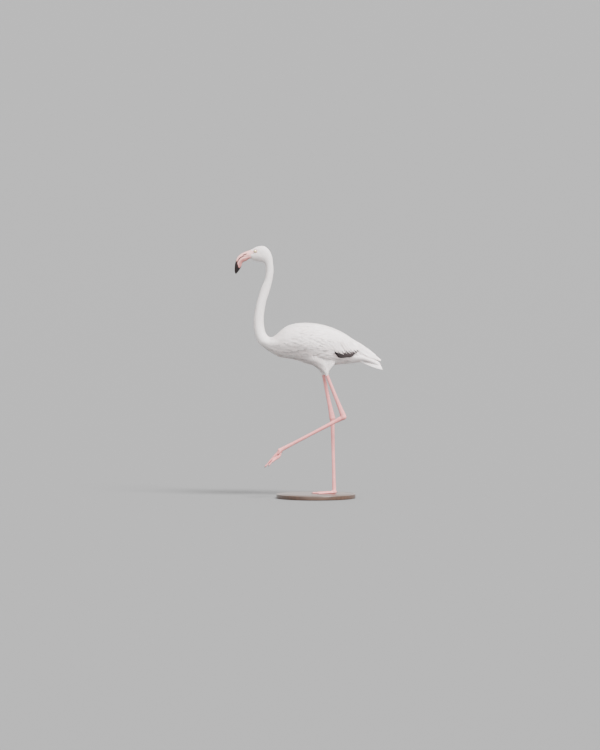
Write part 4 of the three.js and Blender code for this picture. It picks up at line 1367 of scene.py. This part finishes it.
bill = {
    # Ridge x, z, mouth line x, z, keel x, z, and half widths above and below the mouth, from the face to the
    # tip. For each half: where its edge and half width stand in a row, the power of its profile, its
    # groove's depth, height and width as shares, and the row where black starts.
    "rows": [
        [-290, 1046, -285.5, 1023, -281, 1014, 12, 11.5],
        [-305, 1040.5, -299.5, 1024, -292, 1009.5, 10.8, 12.2],
        [-319, 1033.5, -312, 1023.5, -300, 1002.5, 9.8, 13],
        [-331.5, 1024.5, -324.5, 1018, -310, 999.5, 9.2, 13.6],
        [-340, 1013, -333.5, 1008.5, -317, 993.5, 8.6, 13],
        [-345.5, 999.5, -339.5, 997, -319.5, 985.5, 8, 11.6],
        [-348.5, 985, -343, 983.5, -323, 975.5, 7, 9.6],
        [-349.7, 970, -345, 968.5, -329.5, 964, 5.6, 7],
        [-349.3, 957, -346, 955.5, -337.5, 953.5, 3.8, 4.4],
        [-347, 948, -345.5, 947, -343, 946, 1.6, 1.8],
    ],
    "upper": {"edge": 0, "width": 6, "power": 0.8, "groove": (0.14, 0.3, 0.16), "blackFrom": 4.7},
    "lower": {"edge": 4, "width": 7, "power": 0.72, "groove": (0.07, 0.16, 0.09), "blackFrom": 6.3},
    "gap": 0.9,
    "sink": 1.3,
    "nostril": {"x": -306.5, "z": 1030.0, "slope": 0.35, "long": 8.4, "high": 1.95, "deep": 3.2},
}
billRows = np.array(bill["rows"], float)
billAt = sectionCurve(billRows, billRows[:, 2:4])


def billHalf(name, part, nodes):
    # A half-round lid above the mouth line or a deep trough below it:
    # mouth + rise * sin(turn)^power, and half width * cos(turn) sideways. Its rear edge sinks into the face.
    steps = np.concatenate([np.linspace(-0.5, 8.6, 160), 9 - 0.4 * np.linspace(1, 0, 16)[1:] ** 2])
    turn = np.linspace(0, np.pi, 73)
    row, shape, upper = billAt(steps), bill[part], part == "upper"
    mouth, edge = row[:, 2:4], row[:, shape["edge"]:shape["edge"] + 2]
    sink = bill["sink"] * smoothStep(0.12, -0.45, steps)
    width = row[:, shape["width"]] - sink
    rise = edge - mouth
    start = mouth + unit(rise) * bill["gap"] / 2 * smoothStep(9, 7.6, steps)[:, None]
    rise = rise * (1 - sink / np.linalg.norm(rise, axis=1))[:, None]
    blunt = np.sqrt(np.clip((9.02 - steps) / 0.35, 0.02, 1))[:, None]
    lift = np.sin(turn)[None, :] ** shape["power"] * blunt
    aside = np.cos(turn)[None, :] * blunt
    # The lid's flank is pinched into a groove over the mouth line, and the trough is hollowed under its lip.
    grooveDeep, grooveAt, grooveWide = shape["groove"]
    pinch = 1 - grooveDeep * bell(lift, grooveAt, grooveWide) * smoothStep(0.2, 2.0, steps)[:, None]
    comb = 0.02 * (1 + np.sin(steps * 46))[:, None] * bell(lift, 0.02, 0.05)
    y = width[:, None] * aside * pinch * (1 - comb * smoothStep(8.3, 7.5, steps)[:, None])
    x = start[:, None, 0] + rise[:, None, 0] * lift
    z = start[:, None, 1] + rise[:, None, 1] * lift
    # Nostril: a slit along each flank of the lid.
    hole = bill["nostril"]
    off = z - hole["z"] - hole["slope"] * (x - hole["x"])
    slit = np.exp(-((x - hole["x"]) / hole["long"]) ** 4) * bell(off, 0, hole["high"])
    slit = slit * upper * (np.abs(y) > 2)
    y = y - np.sign(y) * hole["deep"] * slit
    top = np.stack([x, y, z], -1)
    # The floor of the lid and the roof of the trough close each ring. They swell by 1 - flat^4 until they
    # meet, so no light shows through the mouth.
    flat = np.linspace(-1, 1, 12)[1:-1]
    swell = 0.98 * (start - mouth)[:, None] * (1 - flat ** 4)[None, :, None]
    level = start[:, None] - swell
    inner = np.stack([level[..., 0], width[:, None] * flat * blunt, level[..., 1]], -1)
    points, quads, tris = tube(toMetres(np.concatenate([top, inner], 1)))
    # The black starts on a line round each half. On the trough it runs up beside the mouth and on the keel,
    # and painted shade makes the trough darker below its pale lip, towards the keel.
    black = steps[:, None] - shape["blackFrom"]
    tone, deep = black + 0.5 * lift - 0.25, 0 * lift
    if not upper:
        tone = black + 1.3 * smoothStep(0.62, 0.0, lift) + 0.8 * smoothStep(0.78, 1.0, lift)
        # Painted shade on the trough's lower side.
        deep = smoothStep(0.22, 0.5, lift)
    wide = 0.06 + 0.14 * (smoothStep(1.2, 2.6, steps) * smoothStep(6.5, 5.0, steps))[:, None]
    # Painted shade along the mouth's gap and in the nostril slit.
    paintedGapShade = np.maximum(smoothStep(wide, 0.4 * wide, lift), smoothStep(0.06, 0.3, slit))
    # Each mask runs round the outside, over the flat inside, and on to the two end points.
    masks = {"black": (tone, black, [-1, 1]), "paintedGapShade": (paintedGapShade, 0 * black + 1, [0, 0]),
             "deep": (deep, 0 * black, [0, 0])}
    colours = {}
    for label, (outside, inside, ends) in masks.items():
        whole = np.concatenate([outside, np.repeat(inside, len(flat), 1)], 1)
        colours[label] = np.append(whole.ravel(), ends)
    piece = addMesh(name, points, quads, tris, colours=colours, material=horn)
    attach(piece, "root")
    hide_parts(*nodes)


def hornMaterial():
    # Pale pink horn that turns black at the tip, with fine growth lines, and painted shade in the mouth's gap,
    # the nostrils and low on the trough.
    material, tree, shader = makeMaterial("billHorn", (0.8, 0.5, 0.5), Specular_IOR_Level=0.22)
    position = tree.position()
    cloud = tree.noise(position, 60.0, 5.0, Roughness=0.6)
    lines = tree.wave(position, {"wave_type": "BANDS", "bands_direction": "Z"},
                      **{"Scale": 70.0, "Distortion": 7.0, "Detail": 2.0, "Detail Scale": 1.2})
    pink = tree.mix(cloud, (0.5, 0.22, 0.2), (0.7, 0.4, 0.37))
    pink = tree.mix(tree.times(lines, 0.12), pink, (0.4, 0.16, 0.15))
    # Painted shade: the trough darker below its lip.
    pink = tree.mix(tree.attribute("deep"), pink, (0.62, 0.5, 0.5), "MULTIPLY")
    black = tree.mix(cloud, (0.006, 0.005, 0.005), (0.02, 0.016, 0.016))
    uneven = tree.math("MULTIPLY_ADD", cloud, 0.35, tree.attribute("black"))
    colour = tree.mix(tree.step(uneven, 0.12, 0.24), pink, black)
    # Painted shade in the mouth's gap and the nostril slits.
    colour = tree.mix(tree.times(tree.attribute("paintedGapShade"), 0.95), colour, (0.035, 0.014, 0.014))
    tree.put(shader["Base Color"], colour)
    tree.put(shader["Roughness"], tree.math("MULTIPLY_ADD", cloud, 0.18, 0.27))
    tree.put(shader["Normal"], tree.bump(tree.math("MULTIPLY_ADD", lines, 0.5, cloud), 0.35, 0.0003))
    return material


horn = hornMaterial()
billHalf("billUpper", "upper", ["bill_upper", "bill_upper_tip"])
billHalf("billLower", "lower", ["bill_lower", "bill_lower_tip"])
print("bill")


# Eyes


def eyeMaterial():
    # Pale yellow iris with fine spokes and a dark ring at its rim, a round pupil, and a wet coat.
    material, tree, shader = makeMaterial("eyeBall", (0.8, 0.7, 0.4), Roughness=0.2, Coat_Weight=0.6,
                                          Coat_Roughness=0.03, Specular_IOR_Level=0.15)
    where = tree.split(tree.position())
    x = tree.math("SUBTRACT", where[0], eye["x"] * mm)
    z = tree.math("SUBTRACT", where[2], eye["z"] * mm + soleLevel)
    away = tree.math("SQRT", tree.math("ADD", tree.times(x, x), tree.times(z, z)))
    share = tree.math("DIVIDE", away, eye["iris"] * mm)
    ramp = tree.add("ShaderNodeValToRGB", None, {0: share})
    pupil = eye["pupil"] / eye["iris"]
    stops = [(0.0, (0.005, 0.004, 0.004)), (pupil - 0.06, (0.006, 0.005, 0.005)), (pupil, (0.5, 0.38, 0.14)),
             (0.56, (0.9, 0.78, 0.36)), (0.86, (0.93, 0.85, 0.46)), (0.95, (0.25, 0.14, 0.08)),
             (1.0, (0.03, 0.015, 0.015))]
    elements = ramp.color_ramp.elements
    elements.remove(elements[0])
    elements[0].position = 0.0
    for i, (place, colour) in enumerate(stops):
        element = elements[0] if i == 0 else elements.new(place)
        element.color = (*colour, 1)
    ray = tree.join(tree.times(tree.math("ARCTAN2", z, x), 3.0), tree.times(share, 0.6))
    spokes = tree.times(tree.noise(ray, 5.0, 3.0), 0.2)
    tree.put(shader["Base Color"], tree.mix(spokes, ramp.outputs[0], (0.4, 0.3, 0.12), "MULTIPLY"))
    return material


def eyeBall(side):
    # A ball with a slightly fuller cornea: radius grows by a bell round the outward axis.
    turn, rise = np.linspace(0, 2 * np.pi, 57)[:-1], np.linspace(0.03, np.pi - 0.03, 40)[:, None]
    radius = eye["radius"] + 0.35 * bell(rise, 0, 0.6)
    ring = np.stack(np.broadcast_arrays(radius * np.sin(rise) * np.cos(turn), side * radius * np.cos(rise),
                                        radius * np.sin(rise) * np.sin(turn)), -1)
    return tube(toMetres(ring + [eye["x"], side * (eye["out"] + 0.1), eye["z"]]))


irisMaterial = eyeMaterial()
for label, side in (("left", -1), ("right", 1)):
    ball = addMesh(f"eye_{label}_ball", *eyeBall(side), material=irisMaterial)
    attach(ball, "root")
    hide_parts(f"eye_{label}")


# Claws

clawShape = {
    "front": {"length": 8.5, "base": 2.5, "tip": 0.35},
    "hind": {"length": 4.5, "base": 1.5, "tip": 0.3},
}


def clawRings(leg, start, way, size):
    # Rings along a claw that starts just past its toe and bends down to a blunt point.
    t = np.linspace(0, 1, 12)[:, None]
    turn = np.linspace(0, 2 * np.pi, 17)[:-1]
    across = unit(np.cross([0, 0, 1], way))
    upward = np.cross(way, across)
    thinner = size["tip"] - size["base"]
    radius = size["base"] + thinner * t ** 1.4
    middle = start + way * (0.1 + size["length"] * t) + upward * (thinner * t * t)
    ring = middle[:, None] + across * (radius * 0.8 * np.cos(turn))[..., None]
    ring = ring + upward * (radius * np.sin(turn))[..., None]
    return toMetres(footPoint(leg, ring))


def allClaws():
    points, quads, tris, start = [], [], [], 0
    for leg in legs.values():
        rings = []
        for toe in toes.values():
            way = toeWay(toe, leg)
            root = way * toe["length"]
            if leg["planted"]:
                root[2] = toe["tip"] * 1.1 - soleDrop
            rings.append(clawRings(leg, root, way, clawShape["front"]))
        root, way = hindLine(leg)
        rings.append(clawRings(leg, root + way * hindToe["length"], way, clawShape["hind"]))
        for ring in rings:
            p, q, t = tube(ring)
            points.append(p)
            quads.append(q + start)
            tris.append(t + start)
            start += len(p)
    return np.concatenate(points), np.concatenate(quads), np.concatenate(tris)


def clawMaterial():
    material, tree, shader = makeMaterial("clawHorn", (0.1, 0.06, 0.06), Roughness=0.45)
    grain = tree.noise(tree.position(), 300.0, 4.0)
    tree.put(shader["Base Color"], tree.mix(grain, (0.05, 0.028, 0.03), (0.2, 0.11, 0.11)))
    tree.put(shader["Normal"], tree.bump(grain, 0.4, 0.0002))
    return material


claws = addMesh("claws", *allClaws(), material=clawMaterial())
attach(claws, "root")
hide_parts(*[f"claw_{label}_{toe}" for label in legs for toe in ("outer", "middle", "inner", "hind")])
print("eyes and claws")


# Display base

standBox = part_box("stand_base")
base = {"radius": standBox[1][0], "height": standBox[1][2], "rounding": 0.0025, "sides": 180,
        "grooveIn": 0.012, "grooveDeep": 0.0007, "grooveWide": 0.002}


def baseDisc():
    # A turned disc: the profile runs from the underside's middle round two rounded edges, over a fine groove,
    # to the middle of the top.
    r, h, c = base["radius"], base["height"], base["rounding"]
    arc = np.linspace(0, np.pi / 2, 7)
    lower = np.stack([r - c + c * np.sin(arc), c - c * np.cos(arc)], -1)
    upper = np.stack([r - c + c * np.cos(arc), h - c + c * np.sin(arc)], -1)
    outer, deep = r - base["grooveIn"], h - base["grooveDeep"]
    inner = outer - base["grooveWide"]
    groove = np.array([[outer, h], [outer - 0.0005, deep], [inner + 0.0005, deep], [inner, h]])
    profile = np.concatenate([[[0.02, 0], [r * 0.5, 0]], lower, upper, groove, [[r * 0.6, h], [0.02, h]]])
    turn = np.linspace(0, 2 * np.pi, base["sides"] + 1)[:-1]
    reach, level = profile[:, :1], profile[:, 1:]
    return tube(np.stack(np.broadcast_arrays(reach * np.cos(turn), reach * np.sin(turn), level), -1))


def woodMaterial():
    # Dark varnished wood: long grain along X with fine pores and slight wear in its gloss.
    material, tree, shader = makeMaterial("baseWood", (0.15, 0.08, 0.05), Roughness=0.4, Coat_Weight=0.25,
                                          Coat_Roughness=0.25)
    inputs = {"Vector": tree.position(), "Scale": (1.2, 14, 14)}
    stretch = tree.add("ShaderNodeMapping", None, inputs).outputs[0]
    grain = tree.noise(stretch, 4.0, 8.0, Roughness=0.6, Distortion=0.6)
    rings = tree.wave(stretch, {"wave_type": "RINGS", "rings_direction": "X"},
                      Scale=1.6, Distortion=5.0, Detail=3.0)
    colour = tree.mix(grain, (0.022, 0.01, 0.006), (0.075, 0.037, 0.021))
    tree.put(shader["Base Color"], tree.mix(tree.times(rings, 0.35), colour, (0.016, 0.008, 0.005)))
    tree.put(shader["Roughness"], tree.math("MULTIPLY_ADD", grain, 0.25, 0.28))
    tree.put(shader["Normal"], tree.bump(grain, 0.15, 0.0004))
    return material


stand = addMesh("standDisc", *baseDisc(), material=woodMaterial())
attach(stand, "root")
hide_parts("stand_base")


# Floor, light and camera

stage = {"floor": 0.12, "across": 420, "world": 1.7, "sun": 13.0, "sunTilt": 38, "sunTurn": 40, "soft": 20,
         "fill": 3.2, "fillTilt": 84, "fillSoft": 80}
floorPaint = makeMaterial("floorPaint", (stage["floor"],) * 3, Roughness=0.85, Specular_IOR_Level=0.2)[0]
turn = np.linspace(0, 2 * np.pi, 97)[:-1]
rim = np.stack([stage["across"] * np.cos(turn), stage["across"] * np.sin(turn), 0 * turn - 0.0004], -1)
fan = np.stack([np.zeros(94, int), np.arange(1, 95), np.arange(2, 96)], -1)
floor = addMesh("floor", rim, tris=fan, material=floorPaint)

world = bpy.data.worlds.new("room")
bpy.context.scene.world = world
world.use_nodes = True
world.node_tree.nodes["Background"].inputs[0].default_value = (1, 1, 1, 1)
world.node_tree.nodes["Background"].inputs[1].default_value = stage["world"]


def sunLight(name, energy, soft, tilt, turn):
    # A sun from a disc `soft` degrees wide, tilted from straight down and turned about Z.
    light = bpy.data.objects.new(name, bpy.data.lights.new(name, "SUN"))
    light.data.energy = energy
    light.data.angle = math.radians(soft)
    light.rotation_euler = (math.radians(tilt), 0, math.radians(turn))
    bpy.context.scene.collection.objects.link(light)


sunLight("keyLight", stage["sun"], stage["soft"], stage["sunTilt"], stage["sunTurn"])
sunLight("fillLight", stage["fill"], stage["fillSoft"], stage["fillTilt"], 0)

view = {"lens": 400, "sensor": 36, "tall": 3225, "elevation": 3.0, "lookX": -68.8, "lookZ": 511.7,
        "clipAt": 2000}
distance = view["tall"] * mm * view["lens"] / view["sensor"]
tilt = math.radians(view["elevation"])
camera = bpy.data.objects.new("camera", bpy.data.cameras.new("camera"))
camera.data.lens = view["lens"]
camera.data.clip_end = view["clipAt"]
lookZ = view["lookZ"] * mm + soleLevel
camera.location = (view["lookX"] * mm, -distance * math.cos(tilt), lookZ + distance * math.sin(tilt))
camera.rotation_euler = (math.pi / 2 - tilt, 0, 0)
bpy.context.scene.collection.objects.link(camera)
bpy.context.scene.camera = camera

print("coat in all:", sum(count for _, count in coatPieces), "triangles")
